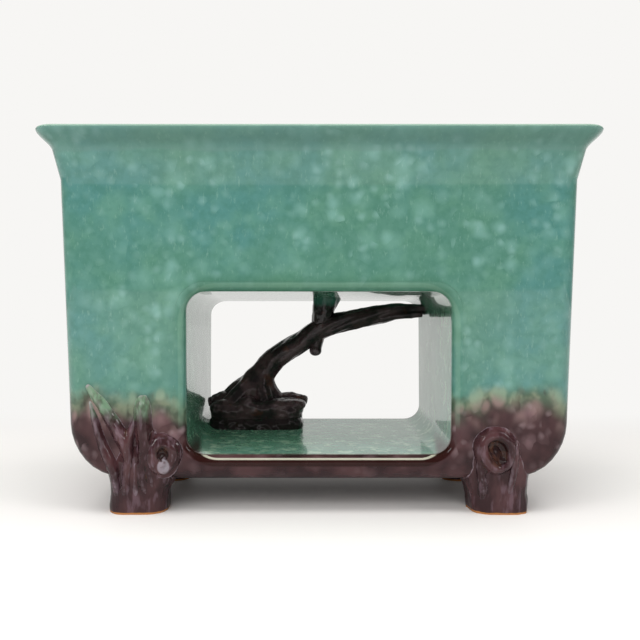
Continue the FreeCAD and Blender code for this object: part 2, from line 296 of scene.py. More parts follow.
@dataclass(frozen=True)
class Root:
    """One strand of a gnarled form: a path with a radius at each point."""

    points: Sequence[Point]
    radii: Sequence[float]
    closed: bool = False

    def skirt(self, sink: float, grow: float, above: float) -> list["Root"]:
        """A wider strand, sunk towards Y 0, that fills the crease where this one meets the wall.

        Args:
            sink: How much deeper it lies, as a share of the radius.
            grow: Its radius, as a share of the radius.
            above: Height that the strand has to be over to meet the wall.

        Returns:
            The skirt, or nothing where the strand is not on the wall.
        """
        kept = [(place, radius) for place, radius in zip(self.points, self.radii) if place[2] > above]
        if len(kept) < STRAND_ORDER:
            return []
        points = [(x, y - math.copysign(radius * sink, y), z) for (x, y, z), radius in kept]
        return [Root(points, [radius * grow for _, radius in kept], self.closed)]

    def build(self) -> bpy.types.Object:
        """Sweep the strand as a tapered tube and make it a mesh."""
        Bench.clear()
        bpy.ops.curve.primitive_nurbs_path_add()
        strand = bpy.context.object
        curve = strand.data
        curve.splines.clear()
        spline = curve.splines.new("NURBS")
        spline.points.add(len(self.points) - 1)
        for index, (place, radius) in enumerate(zip(self.points, self.radii)):
            spline.points[index].co = (*place, 1.0)
            spline.points[index].radius = radius
        spline.order_u = STRAND_ORDER
        spline.use_endpoint_u = not self.closed
        spline.use_cyclic_u = self.closed
        spline.resolution_u = 6
        curve.dimensions = "3D"
        curve.bevel_depth = 1.0
        curve.bevel_resolution = 2
        curve.use_fill_caps = not self.closed
        Bench.hold(strand)
        bpy.ops.object.convert(target="MESH")
        return bpy.context.object


@dataclass(frozen=True)
class Lump:
    """A rounded chunk: middle, half sizes and lean about Y in degrees."""

    middle: Point
    half: Point
    lean: float = 0.0

    def build(self) -> bpy.types.Object:
        """Make the chunk as a pulled sphere."""
        Bench.clear()
        turn = (0.0, math.radians(self.lean), 0.0)
        bpy.ops.mesh.primitive_ico_sphere_add(subdivisions=3, radius=1.0, location=self.middle,
                                              rotation=turn, scale=self.half)
        bpy.ops.object.transform_apply(location=True, rotation=True, scale=True)
        return bpy.context.object


@dataclass(frozen=True)
class Stump:
    """A smooth stump: a rounded rectangle taken up through rings."""

    corner: float
    rings: Sequence[Ring]

    def build(self) -> bpy.types.Object:
        """Make the stump."""
        return stack("stump", self.corner, self.rings)


Form = Root | Lump | Stump


def bundle(main: Root, count: int, spread: float, thin: float, twist: float, seed: int) -> list[Root]:
    """Wind thinner strands round a main strand, so that their ridges run along it.

    Args:
        main: The strand that they follow.
        count: How many strands are wound.
        spread: Their distance from its middle, as a share of its radius.
        thin: Their radius, as a share of its radius.
        twist: Turns from the first point to the last.
        seed: Seed of their unevenness.

    Returns:
        The wound strands, without the main one.
    """
    start_play = 0.25
    turn_play = 0.2
    reach_play = (0.85, 1.12)
    radius_play = (0.75, 1.2)
    mostly = 0.8
    chance = random.Random(seed)
    wound = []
    for strand in range(count):
        start = 2 * math.pi * (strand + chance.uniform(-start_play, start_play)) / count
        points, radii = [], []
        for index, (place, radius) in enumerate(zip(main.points, main.radii)):
            before = Vector(main.points[max(index - 1, 0)])
            after = Vector(main.points[min(index + 1, len(main.points) - 1)])
            along = (after - before).normalized()
            aside = Vector((0.0, 1.0, 0.0) if abs(along.y) < mostly else (1.0, 0.0, 0.0))
            across = along.cross(aside).normalized()
            up = across.cross(along)
            turned = 2 * math.pi * twist * index / (len(main.points) - 1)
            angle = start + turned + chance.uniform(-turn_play, turn_play)
            reach = radius * spread * chance.uniform(*reach_play)
            points.append(tuple(Vector(place) + (across * math.cos(angle) + up * math.sin(angle)) * reach))
            radii.append(radius * thin * chance.uniform(*radius_play))
        wound.append(Root(points, radii))
    return wound


@dataclass(frozen=True)
class Bark:
    """How a gnarled form is fused and roughened: wide lumps under fine grain, then softened."""

    voxel: float
    lumps: float
    lump_size: float
    grain: float
    soften: int
    grain_size: float = 2.6 * MM

    def fuse(self, name: str, forms: Sequence[Form]) -> bpy.types.Object:
        """Fuse strands and lumps into one skin with knobs and grain.

        Args:
            name: The piece's name.
            forms: The strands and lumps.

        Returns:
            The fused mesh.
        """
        piece = Bench.join(name, [form.build() for form in forms])
        Bench.modify(piece, "REMESH", mode="VOXEL", voxel_size=self.voxel)
        layers = (("lumps", self.lump_size, self.lumps), ("grain", self.grain_size, self.grain))
        for label, size, strength in layers:
            cloud = bpy.data.textures.new(f"{name}_{label}", "CLOUDS")
            cloud.noise_scale = size
            cloud.noise_depth = 2
            Bench.modify(piece, "DISPLACE", texture=cloud, strength=strength, texture_coords="LOCAL")
        Bench.modify(piece, "SMOOTH", factor=0.5, iterations=self.soften)
        return piece


def mark_proudness(piece: bpy.types.Object) -> None:
    """Store how proud each face corner stands: 0.5 where flat, more on ridges and less in creases.

    Args:
        piece: The piece.
    """
    Bench.hold(piece)
    # The glazes read this to paint highlights on ridges and shade in creases.
    worn = piece.data.color_attributes.new("worn", "FLOAT_COLOR", "CORNER")
    piece.data.color_attributes.active_color = worn
    bpy.ops.object.mode_set(mode="VERTEX_PAINT")
    bpy.ops.paint.vertex_color_dirt(blur_strength=1.0, blur_iterations=2, dirt_only=False, normalize=False)
    bpy.ops.object.mode_set(mode="OBJECT")


# ------------------------------------------------------------------ shader maths

def tone(red: int, green: int, blue: int) -> Colour:
    """A colour picked as 0 to 255 values, as the linear colour that a shader takes.

    Args:
        red: How red it is.
        green: How green it is.
        blue: How blue it is.

    Returns:
        The linear colour, opaque.
    """
    linear = [value / 12.92 if value <= 0.04045 else ((value + 0.055) / 1.055) ** 2.4
              for value in (red / 255, green / 255, blue / 255)]
    return (*linear, 1.0)


class Value:
    """A shader value with arithmetic: each operation adds its Math node."""

    def __init__(self, shader: "Shader", socket: bpy.types.NodeSocket) -> None:
        """Wrap one output socket."""
        self.shader = shader
        self.socket = socket

    def math(self, operation: str, *terms: object) -> "Value":
        """Apply a Math node to this value and further terms."""
        inputs = dict(enumerate((self, *terms)))
        return self.shader.value("ShaderNodeMath", {"operation": operation}, inputs)

    def __add__(self, other: object) -> "Value":
        """This plus another."""
        return self.math("ADD", other)

    __radd__ = __add__

    def __mul__(self, other: object) -> "Value":
        """This times another."""
        return self.math("MULTIPLY", other)

    __rmul__ = __mul__

    def __sub__(self, other: object) -> "Value":
        """This less another."""
        return self.math("SUBTRACT", other)

    def __rsub__(self, other: float) -> "Value":
        """A number less this."""
        return self.math("MULTIPLY_ADD", -1.0, other)

    def __truediv__(self, other: object) -> "Value":
        """This divided by another."""
        return self.math("DIVIDE", other)

    def step(self, low: float, high: float) -> "Value":
        """Rise smoothly from 0 to 1, or fall where low is the larger.

        Args:
            low: Where the result is 0.
            high: Where the result is 1.

        Returns:
            The smooth step.
        """
        if low > high:
            return 1.0 - self.step(high, low)
        return self.shader.value("ShaderNodeMapRange", {"interpolation_type": "SMOOTHSTEP"},
                                 {"Value": self, "From Min": low, "From Max": high})


class Shader:
    """One material's node tree, built from values and colours."""

    def __init__(self, name: str) -> None:
        """Start an empty material.

        Args:
            name: The material's name.
        """
        self.material = bpy.data.materials.new(name)
        self.material.use_nodes = True
        self.tree = self.material.node_tree
        self.tree.nodes.clear()
        self.place = self.node("ShaderNodeTexCoord").outputs["Object"]
        split = self.node("ShaderNodeSeparateXYZ", {}, {"Vector": self.place})
        self.x, self.y, self.z = (Value(self, split.outputs[axis]) for axis in "XYZ")

    def node(self, kind: str, settings: dict | None = None, inputs: dict | None = None) -> bpy.types.Node:
        """Add one node.

        Args:
            kind: The node's type.
            settings: What is set on the node itself.
            inputs: A number, colour, Value or socket for each input socket.

        Returns:
            The node.
        """
        made = self.tree.nodes.new(kind)
        for name, setting in (settings or {}).items():
            setattr(made, name, setting)
        for name, value in (inputs or {}).items():
            socket = value.socket if isinstance(value, Value) else value
            if isinstance(socket, bpy.types.NodeSocket):
                self.tree.links.new(socket, made.inputs[name])
            else:
                made.inputs[name].default_value = socket
        return made

    def value(self, kind: str, settings: dict | None = None, inputs: dict | None = None,
              output: int | str = 0) -> Value:
        """Add one node and take one of its outputs as a value."""
        return Value(self, self.node(kind, settings, inputs).outputs[output])

    def noise(self, size: float, detail: float = 2.0, place: object = None, rough: float = 0.5) -> Value:
        """Cloudy noise from 0 to 1 whose features are about size metres."""
        return self.value("ShaderNodeTexNoise", {}, {"Vector": place or self.place, "Scale": 1 / size,
                                                      "Detail": detail, "Roughness": rough})

    def wavy_z(self, size: float, sway: float) -> Value:
        """Height, swayed by noise of a feature size, so that a line at one height wanders."""
        return self.z + (self.noise(size) - 0.5) * sway

    def stretched(self, x: float, y: float, z: float, place: object = None) -> bpy.types.NodeSocket:
        """A place, scaled along each axis; a small z draws a pattern out downwards, as glaze runs."""
        return self.node("ShaderNodeVectorMath", {"operation": "MULTIPLY"},
                         {0: place or self.place, 1: (x, y, z)}).outputs[0]

    def stirred(self, amount: float, size: float) -> bpy.types.NodeSocket:
        """The place, pushed about by noise so that patterns are not regular.

        Args:
            amount: How far a point may be pushed, in metres.
            size: Size of the noise's features, in metres.

        Returns:
            The stirred place.
        """
        cloud = self.node("ShaderNodeTexNoise", {}, {"Vector": self.place, "Scale": 1 / size, "Detail": 2.0})
        centred = self.node("ShaderNodeVectorMath", {"operation": "SUBTRACT"},
                            {0: cloud.outputs["Color"], 1: (0.5, 0.5, 0.5)})
        scaled = self.node("ShaderNodeVectorMath", {"operation": "SCALE"},
                           {0: centred.outputs[0], "Scale": amount})
        return self.node("ShaderNodeVectorMath", {"operation": "ADD"},
                         {0: self.place, 1: scaled.outputs[0]}).outputs[0]

    def mix(self, share: object, first: object, second: object) -> bpy.types.NodeSocket:
        """Mix two colours."""
        return self.node("ShaderNodeMix", {"data_type": "RGBA"},
                         {0: share, 6: first, 7: second}).outputs[2]

    def spots(self, size: float, crowd: float, place: object, uneven: float = 1.0) -> Value:
        """Soft round blotches, one to a cell, each of its own strength.

        Args:
            size: The cell's width in metres.
            crowd: Share of the cells that hold a blotch.
            place: Coordinates to read.
            uneven: How far the cells stray from a regular grid, up to 1.

        Returns:
            0 between blotches to 1 in the middle of a strong one.
        """
        edge, heart = 0.6, 0.05
        strongest = 0.3
        cell = self.node("ShaderNodeTexVoronoi", {"feature": "F1"}, {"Vector": place, "Scale": 1 / size,
                                                                    "Randomness": uneven})
        chance = self.value("ShaderNodeSeparateColor", {}, {0: cell.outputs["Color"]})
        strength = chance.step(1.0 - crowd, 1.0 - crowd * strongest)
        return Value(self, cell.outputs["Distance"]).step(edge, heart) * strength

    def blotched(self, base: object, layers: Sequence[Blotches], place: object,
                 weight: object) -> bpy.types.NodeSocket:
        """Lay blotches of several sizes over a colour.

        Args:
            base: The colour under them.
            layers: The blotches of each size.
            place: Coordinates to read.
            weight: How strongly they show, 0 to 1.

        Returns:
            The blotched colour.
        """
        for size, crowd, share, pale in layers:
            base = self.mix(self.spots(size, crowd, place) * weight * share, base, pale)
        return base

    def attribute(self, name: str) -> Value:
        """A number that is stored on the piece's points."""
        return self.value("ShaderNodeAttribute", {"attribute_name": name}, {}, "Fac")

    def larger(self, first: Value, second: object) -> Value:
        """The larger of two values."""
        return first.math("MAXIMUM", second)

    def finish(self, colour: object, roughness: object, coat: object, height: Value,
               depth: float) -> bpy.types.Material:
        """Close the material with a glossy glaze.

        Args:
            colour: The base colour.
            roughness: The body's roughness.
            coat: Weight of the clear glassy coat.
            height: Surface relief from 0 to 1.
            depth: What 1 of height stands for, in metres.

        Returns:
            The material.
        """
        glassy = {"Coat Roughness": 0.04, "Coat IOR": 1.5, "IOR": 1.45, "Specular IOR Level": 0.1}
        bump = self.node("ShaderNodeBump", {}, {"Height": height, "Distance": depth, "Strength": 1.0})
        skin = self.node("ShaderNodeBsdfPrincipled", {}, {
            "Base Color": colour, "Roughness": roughness, "Coat Weight": coat,
            "Normal": bump.outputs[0], **glassy})
        self.node("ShaderNodeOutputMaterial", {}, {"Surface": skin.outputs[0]})
        return self.material


# ------------------------------------------------------------------ finishes

@dataclass(frozen=True)
class JadeGlaze:
    """Jade glaze with pale blotches that runs into aubergine low on the pot."""

    liner: "WindowLiner"
    name: str = "jade_over_aubergine"
    lining: bool = False
    change_z: float = 66 * MM
    change_depth: float = 21 * MM
    drip_length: float = 34 * MM
    bare_z: float = 216 * MM
    green: Colour = tone(82, 128, 112)
    turquoise: Colour = tone(78, 128, 122)
    moss: Colour = tone(96, 142, 118)
    deep_green: Colour = tone(58, 108, 92)
    milk_green: Colour = tone(150, 184, 172)
    aubergine: Colour = tone(42, 22, 25)
    plum: Colour = tone(76, 49, 51)
    dark_olive: Colour = tone(74, 92, 74)
    olive: Colour = tone(112, 122, 100)
    umber: Colour = tone(52, 38, 32)
    pale_green: Colour = tone(138, 158, 134)
    pale_pink: Colour = tone(150, 124, 120)
    tunnel_green: Colour = tone(88, 138, 102)
    tunnel_drops: Colour = tone(172, 200, 172)
    # Round the window: painted shade, a painted edge highlight, the broken glaze's brown and a painted glint.
    window_shade: Colour = tone(62, 108, 84)
    window_edge_highlight: Colour = tone(150, 186, 160)
    window_brown: Colour = tone(38, 12, 8)
    window_glint: Colour = tone(200, 200, 180)
    rim_band: Colour = tone(90, 126, 118)
    # Painted highlight along the rim's lip.
    rim_lip_highlight: Colour = tone(176, 200, 180)
    dark_clay: Colour = tone(108, 84, 66)
    clay: Colour = tone(140, 112, 90)
    upper_blotches: Sequence[Blotches] = (
        (17 * MM, 0.75, 0.42, tone(122, 168, 156)), (11 * MM, 0.8, 0.5, tone(128, 172, 164)),
        (7 * MM, 0.6, 0.42, tone(138, 178, 172)))
    lower_blotches: Sequence[Blotches] = (
        (19 * MM, 0.6, 0.5, tone(128, 98, 102)), (11 * MM, 0.55, 0.55, tone(142, 114, 118)),
        (6 * MM, 0.5, 0.45, tone(160, 138, 142)))

    def upper(self, shader: Shader) -> bpy.types.NodeSocket:
        """The jade field: drifting green and turquoise under soft pale blotches.

        Args:
            shader: The material's nodes.

        Returns:
            The colour.
        """
        drift = shader.noise(80 * MM, 2.0, shader.stretched(1.0, 1.0, 0.8)).step(0.4, 0.6)
        colour = shader.mix(drift, self.green, self.turquoise)
        cloud = shader.noise(22 * MM, 3.0).step(0.42, 0.66)
        colour = shader.mix(cloud * 0.4, colour, self.moss)
        mottle = shader.noise(5 * MM, 3.0).step(0.38, 0.68)
        colour = shader.mix(mottle * 0.35, colour, self.deep_green)
        thick = shader.noise(55 * MM, 1.0).step(0.36, 0.62) * 0.7 + 0.3
        colour = shader.blotched(colour, self.upper_blotches, shader.stirred(4 * MM, 9 * MM), thick)
        streaks = shader.noise(3 * MM, 4.0, shader.stretched(1.6, 1.0, 0.55), 0.7).step(0.56, 0.72)
        return shader.mix(streaks * 0.22, colour, self.milk_green)

    def lower(self, shader: Shader) -> bpy.types.NodeSocket:
        """The aubergine field, with lilac blotches that thin out towards the underside.

        Args:
            shader: The material's nodes.

        Returns:
            The colour.
        """
        drift = shader.noise(30 * MM, 3.0).step(0.38, 0.64)
        colour = shader.mix(drift, self.aubergine, self.plum)
        off_underside = shader.z.step(30 * MM, 50 * MM) * 0.8 + 0.2
        return shader.blotched(colour, self.lower_blotches, shader.stirred(6 * MM, 10 * MM), off_underside)

    def belt(self, shader: Shader, down: Value, soft: bpy.types.NodeSocket) -> bpy.types.NodeSocket:
        """Both fields, and the belt of olive, dark gaps and pale ovals where one runs into the other.

        Args:
            shader: The material's nodes.
            down: 0 in the jade field to 1 in the aubergine.
            soft: The stirred place.

        Returns:
            The colour.
        """
        olive = shader.mix(shader.noise(9 * MM, 2.0).step(0.4, 0.62), self.dark_olive, self.olive)
        colour = shader.mix(down.step(0.06, 0.4), self.upper(shader), olive)
        colour = shader.mix(down.step(0.36, 0.76), colour, self.lower(shader))
        gaps = shader.noise(8 * MM, 2.0, shader.stretched(1.2, 1.0, 0.6)).step(0.5, 0.66)
        colour = shader.mix(gaps * down.step(0.08, 0.3) * down.step(0.9, 0.6) * 0.6, colour, self.umber)
        drawn = shader.stretched(1.0, 1.0, 0.6, soft)
        ovals = shader.larger(shader.spots(13 * MM, 1.0, drawn, 0.7), shader.spots(8 * MM, 0.7, drawn) * 0.7)
        pale = shader.mix(down.step(0.25, 0.6), self.pale_green, self.pale_pink)
        in_belt = down.step(0.02, 0.25) * down.step(0.97, 0.6)
        return shader.mix(ovals.step(0.0, 0.6) * in_belt * 0.62, colour, pale)

    def window_gap(self, shader: Shader) -> Value:
        """Distance outwards from the window's opening, over the wall.

        Args:
            shader: The material's nodes.

        Returns:
            The distance in metres, less than 0 in the opening.
        """
        half_x = self.liner.length / 2
        half_z = self.liner.height / 2
        inset = 20 * MM
        across = shader.larger(shader.x.math("ABSOLUTE") - (half_x - inset), 0.0)
        middle_z = self.liner.sill + half_z
        upward = shader.larger((shader.z - middle_z).math("ABSOLUTE") - (half_z - inset), 0.0)
        return (across * across + upward * upward).math("SQRT") - inset

    def round_window(self, shader: Shader, colour: bpy.types.NodeSocket) -> bpy.types.NodeSocket:
        """Glaze round the window: painted shade beside it, a painted highlight on its edge, and under the sill
        brown glaze and then a painted glint.

        Args:
            shader: The material's nodes.
            colour: The glaze so far.

        Returns:
            The colour.
        """
        gap = self.window_gap(shader)
        # Painted shade beside the window, stronger above it.
        over = shader.z.step(120 * MM, 140 * MM) * 0.3 + 0.25
        shade = gap.step(12 * MM, 4 * MM) * over * shader.z.step(50 * MM, 64 * MM)
        colour = shader.mix(shade, colour, self.window_shade)
        # Painted highlight along the opening's rounded edge.
        edge = gap.step(5.2 * MM, 4.0 * MM) * gap.step(1.2 * MM, 2.4 * MM) * shader.z.step(52 * MM, 60 * MM)
        colour = shader.mix(edge * 0.12, colour, self.window_edge_highlight)
        low = shader.z.step(48 * MM, 40 * MM)
        broken = gap.step(6.4 * MM, 4.8 * MM) * gap.step(0.8 * MM, 1.8 * MM) * low
        colour = shader.mix(broken * 0.9, colour, self.window_brown)
        # Painted glint: a highlight along the rounded front edge of the sill, on both mouths.
        mouth = shader.y.math("ABSOLUTE").step(58.4 * MM, 59.2 * MM)
        glint = gap.step(1.7 * MM, 1.1 * MM) * gap.step(0.1 * MM, 0.5 * MM) * low * mouth
        return shader.mix(glint * 0.75, colour, self.window_glint)

    def tunnel(self, shader: Shader, colour: bpy.types.NodeSocket, inside: Value,
               soft: bpy.types.NodeSocket) -> bpy.types.NodeSocket:
        """Greener glaze with pale drops, away from the tunnel's mouths.

        Args:
            shader: The material's nodes.
            colour: The glaze so far.
            inside: 1 well inside the tunnel, 0 at its mouths.
            soft: The stirred place.

        Returns:
            The colour.
        """
        colour = shader.mix(inside * 0.4, colour, self.tunnel_green)
        drops = shader.noise(8 * MM, 4.0, soft, 0.6).step(0.5, 0.7) * inside
        return shader.mix(drops * 0.6, colour, self.tunnel_drops)

    def rim(self, shader: Shader, colour: bpy.types.NodeSocket) -> bpy.types.NodeSocket:
        """A greyer band under the rim and a painted highlight on its lip.

        Args:
            shader: The material's nodes.
            colour: The glaze so far.

        Returns:
            The colour.
        """
        band = shader.wavy_z(40 * MM, 7 * MM).step(223 * MM, 225 * MM)
        colour = shader.mix(band * 0.45, colour, self.rim_band)
        # Painted highlight along the lip.
        return shader.mix(shader.z.step(236.0 * MM, 237.4 * MM) * 0.6, colour, self.rim_lip_highlight)

    def material(self) -> bpy.types.Material:
        """Build the glaze."""
        shader = Shader(self.name)
        soft = shader.stirred(5 * MM, 16 * MM)
        inside = shader.y.math("ABSOLUTE").step(60 * MM, 54 * MM)
        drips = shader.noise(26 * MM, 1.5, shader.stretched(1.0, 1.0, 0.6)) - 0.5
        level = shader.z + drips * self.drip_length
        if self.lining:
            level = level + inside * (50 * MM)
        down = level.step(self.change_z + self.change_depth, self.change_z - self.change_depth)
        colour = self.belt(shader, down, soft)
        if self.lining:
            colour = self.tunnel(shader, colour, inside, soft)
        colour = self.rim(shader, self.round_window(shader, colour))
        clay = shader.mix(shader.noise(3 * MM, 4.0).step(0.35, 0.7), self.dark_clay, self.clay)
        fade = 1.5 * MM
        below = shader.wavy_z(18 * MM, 8 * MM).step(self.bare_z + fade, self.bare_z - fade)
        bare = shader.attribute("bare") * below
        colour = shader.mix(bare, colour, clay)
        fine, coat = (0.02, 0.7) if self.lining else (0.08, 1.0)
        sway = shader.noise(45 * MM, 2.0) * 0.8 + shader.noise(6 * MM, 2.0) * fine
        return shader.finish(colour, bare * 0.5 + 0.24, (1.0 - bare) * coat, sway, 1.2 * MM)


@dataclass(frozen=True)
class BarkGlaze:
    """Aubergine glaze that breaks to lilac on ridges, with painted highlights there, and pools dark amber in
    hollows, with painted shade there.
    """

    name: str = "aubergine_bark"
    aubergine: Colour = tone(48, 26, 29)
    plum: Colour = tone(80, 52, 54)
    streak_lilac: Colour = tone(132, 108, 120)
    jade: Colour = tone(118, 150, 122)
    # Pooled glaze darkened as painted shade in creases and hollows; then painted highlights, on ridges partly
    # the glaze breaking.
    deep_amber: Colour = tone(22, 8, 7)
    amber: Colour = tone(70, 42, 24)
    ridge_lilac_and_highlight: Colour = tone(164, 150, 160)
    facet_highlight_white: Colour = tone(178, 172, 182)
    raw_clay: Colour = tone(186, 124, 66)
    # Ovals on the front: middle along X and up, and half sizes, in millimetres; the hollows are darkened with
    # painted shade, the facets get a painted highlight.
    hollows: Sequence[tuple[float, float, float, float]] = ((109.6, 39.5, 6.4, 9.0), (-96.2, 39.0, 4.2, 5.0))
    highlight_facets: Sequence[tuple[float, float, float, float]] = ((-95.6, 31.0, 3.6, 4.8),)

    def ovals(self, shader: Shader, places: Sequence[tuple[float, float, float, float]]) -> Value:
        """Mark ovals, the same on the back as on the front.

        Args:
            shader: The material's nodes.
            places: The ovals.

        Returns:
            1 inside each oval, fading at its edge.
        """
        front_x = shader.x * (shader.y.math("SIGN") * -1.0)
        found = 0.0
        for middle_x, middle_z, half_x, half_z in places:
            across = (front_x - middle_x * MM) / (half_x * MM)
            upward = (shader.z - middle_z * MM) / (half_z * MM)
            found = shader.larger((across * across + upward * upward).step(1.25, 0.7), found)
        return found

    def material(self) -> bpy.types.Material:
        """Build the glaze."""
        shader = Shader(self.name)
        worn = shader.attribute("worn")
        drift = shader.noise(14 * MM, 3.0, shader.stretched(1.0, 1.0, 0.5)).step(0.35, 0.65)
        colour = shader.mix(drift, self.aubergine, self.plum)
        streak = shader.noise(5 * MM, 3.0, shader.stretched(1.4, 1.0, 0.35)).step(0.52, 0.7)
        colour = shader.mix(streak * 0.3, colour, self.streak_lilac)
        high = shader.wavy_z(10 * MM, 16 * MM).step(58 * MM, 70 * MM)
        patchy = shader.noise(6 * MM, 3.0, shader.stretched(1.4, 1.0, 0.5)).step(0.36, 0.6) * 0.55 + 0.35
        colour = shader.mix(high * patchy, colour, self.jade)
        # Pooled glaze with painted shade: creases and the hollow knots' insides are darkened to amber.
        pool_and_shade = shader.larger(worn.step(0.495, 0.478), self.ovals(shader, self.hollows))
        amber = shader.mix(shader.noise(5 * MM, 1.0).step(0.36, 0.76), self.deep_amber, self.amber)
        colour = shader.mix(pool_and_shade * 0.8, colour, amber)
        # Painted highlight on the ridges, partly the glaze breaking lilac there.
        ridge = worn.step(0.512, 0.54) * (shader.noise(8 * MM, 2.0).step(0.3, 0.6) * 0.6 + 0.4)
        colour = shader.mix(ridge * 0.6, colour, self.ridge_lilac_and_highlight)
        # Painted highlight: a pale patch on the round knot's facet.
        thin = self.ovals(shader, self.highlight_facets) * shader.noise(3 * MM, 2.0).step(0.3, 0.5)
        colour = shader.mix(thin * 0.45, colour, self.facet_highlight_white)
        foot_ring = shader.wavy_z(6 * MM, 0.8 * MM).step(1.5 * MM, 0.9 * MM)
        colour = shader.mix(foot_ring * 0.9, colour, self.raw_clay)
        return shader.finish(colour, 0.25, 1.0, shader.noise(4 * MM, 3.0) * 0.4, 0.6 * MM)


@dataclass(frozen=True)
class BranchGlaze:
    """Near-black glaze, thin and grey on the ridges of the branch with painted highlights there, and painted
    shade on the plinth under the rock.
    """

    name: str = "branch_black"
    soot: Colour = tone(28, 22, 23)
    brown: Colour = tone(60, 46, 47)
    rust: Colour = tone(74, 38, 24)
    # Painted highlight on ridges, partly thin glaze; after it, painted shade for the plinth.
    ridge_grey_and_highlight: Colour = tone(112, 98, 103)
    jade: Colour = tone(44, 96, 80)
    plinth_shade_black: Colour = tone(12, 8, 7)

    def material(self) -> bpy.types.Material:
        """Build the glaze."""
        shader = Shader(self.name)
        worn = shader.attribute("worn")
        colour = shader.mix(shader.noise(12 * MM, 3.0).step(0.38, 0.64), self.soot, self.brown)
        colour = shader.mix(shader.noise(8 * MM, 2.0).step(0.58, 0.72) * 0.45, colour, self.rust)
        # Painted highlight on the ridges, partly thin glaze there.
        ridge = worn.step(0.508, 0.532) * (shader.noise(9 * MM, 2.0).step(0.32, 0.62) * 0.75 + 0.25)
        colour = shader.mix(ridge * 0.62, colour, self.ridge_grey_and_highlight)
        washed = shader.wavy_z(7 * MM, 5 * MM).step(130 * MM, 135 * MM)
        colour = shader.mix(washed * 0.85, colour, self.jade)
        # Painted shade: the plinth under the rock's overhang is darkened near black.
        plinth = shader.z.step(50 * MM, 48 * MM)
        colour = shader.mix(plinth * 0.8, colour, self.plinth_shade_black)
        return shader.finish(colour, 0.3, 0.7, shader.noise(2.5 * MM, 3.0) * 0.4, 0.5 * MM)


# ------------------------------------------------------------------ the pot's walls

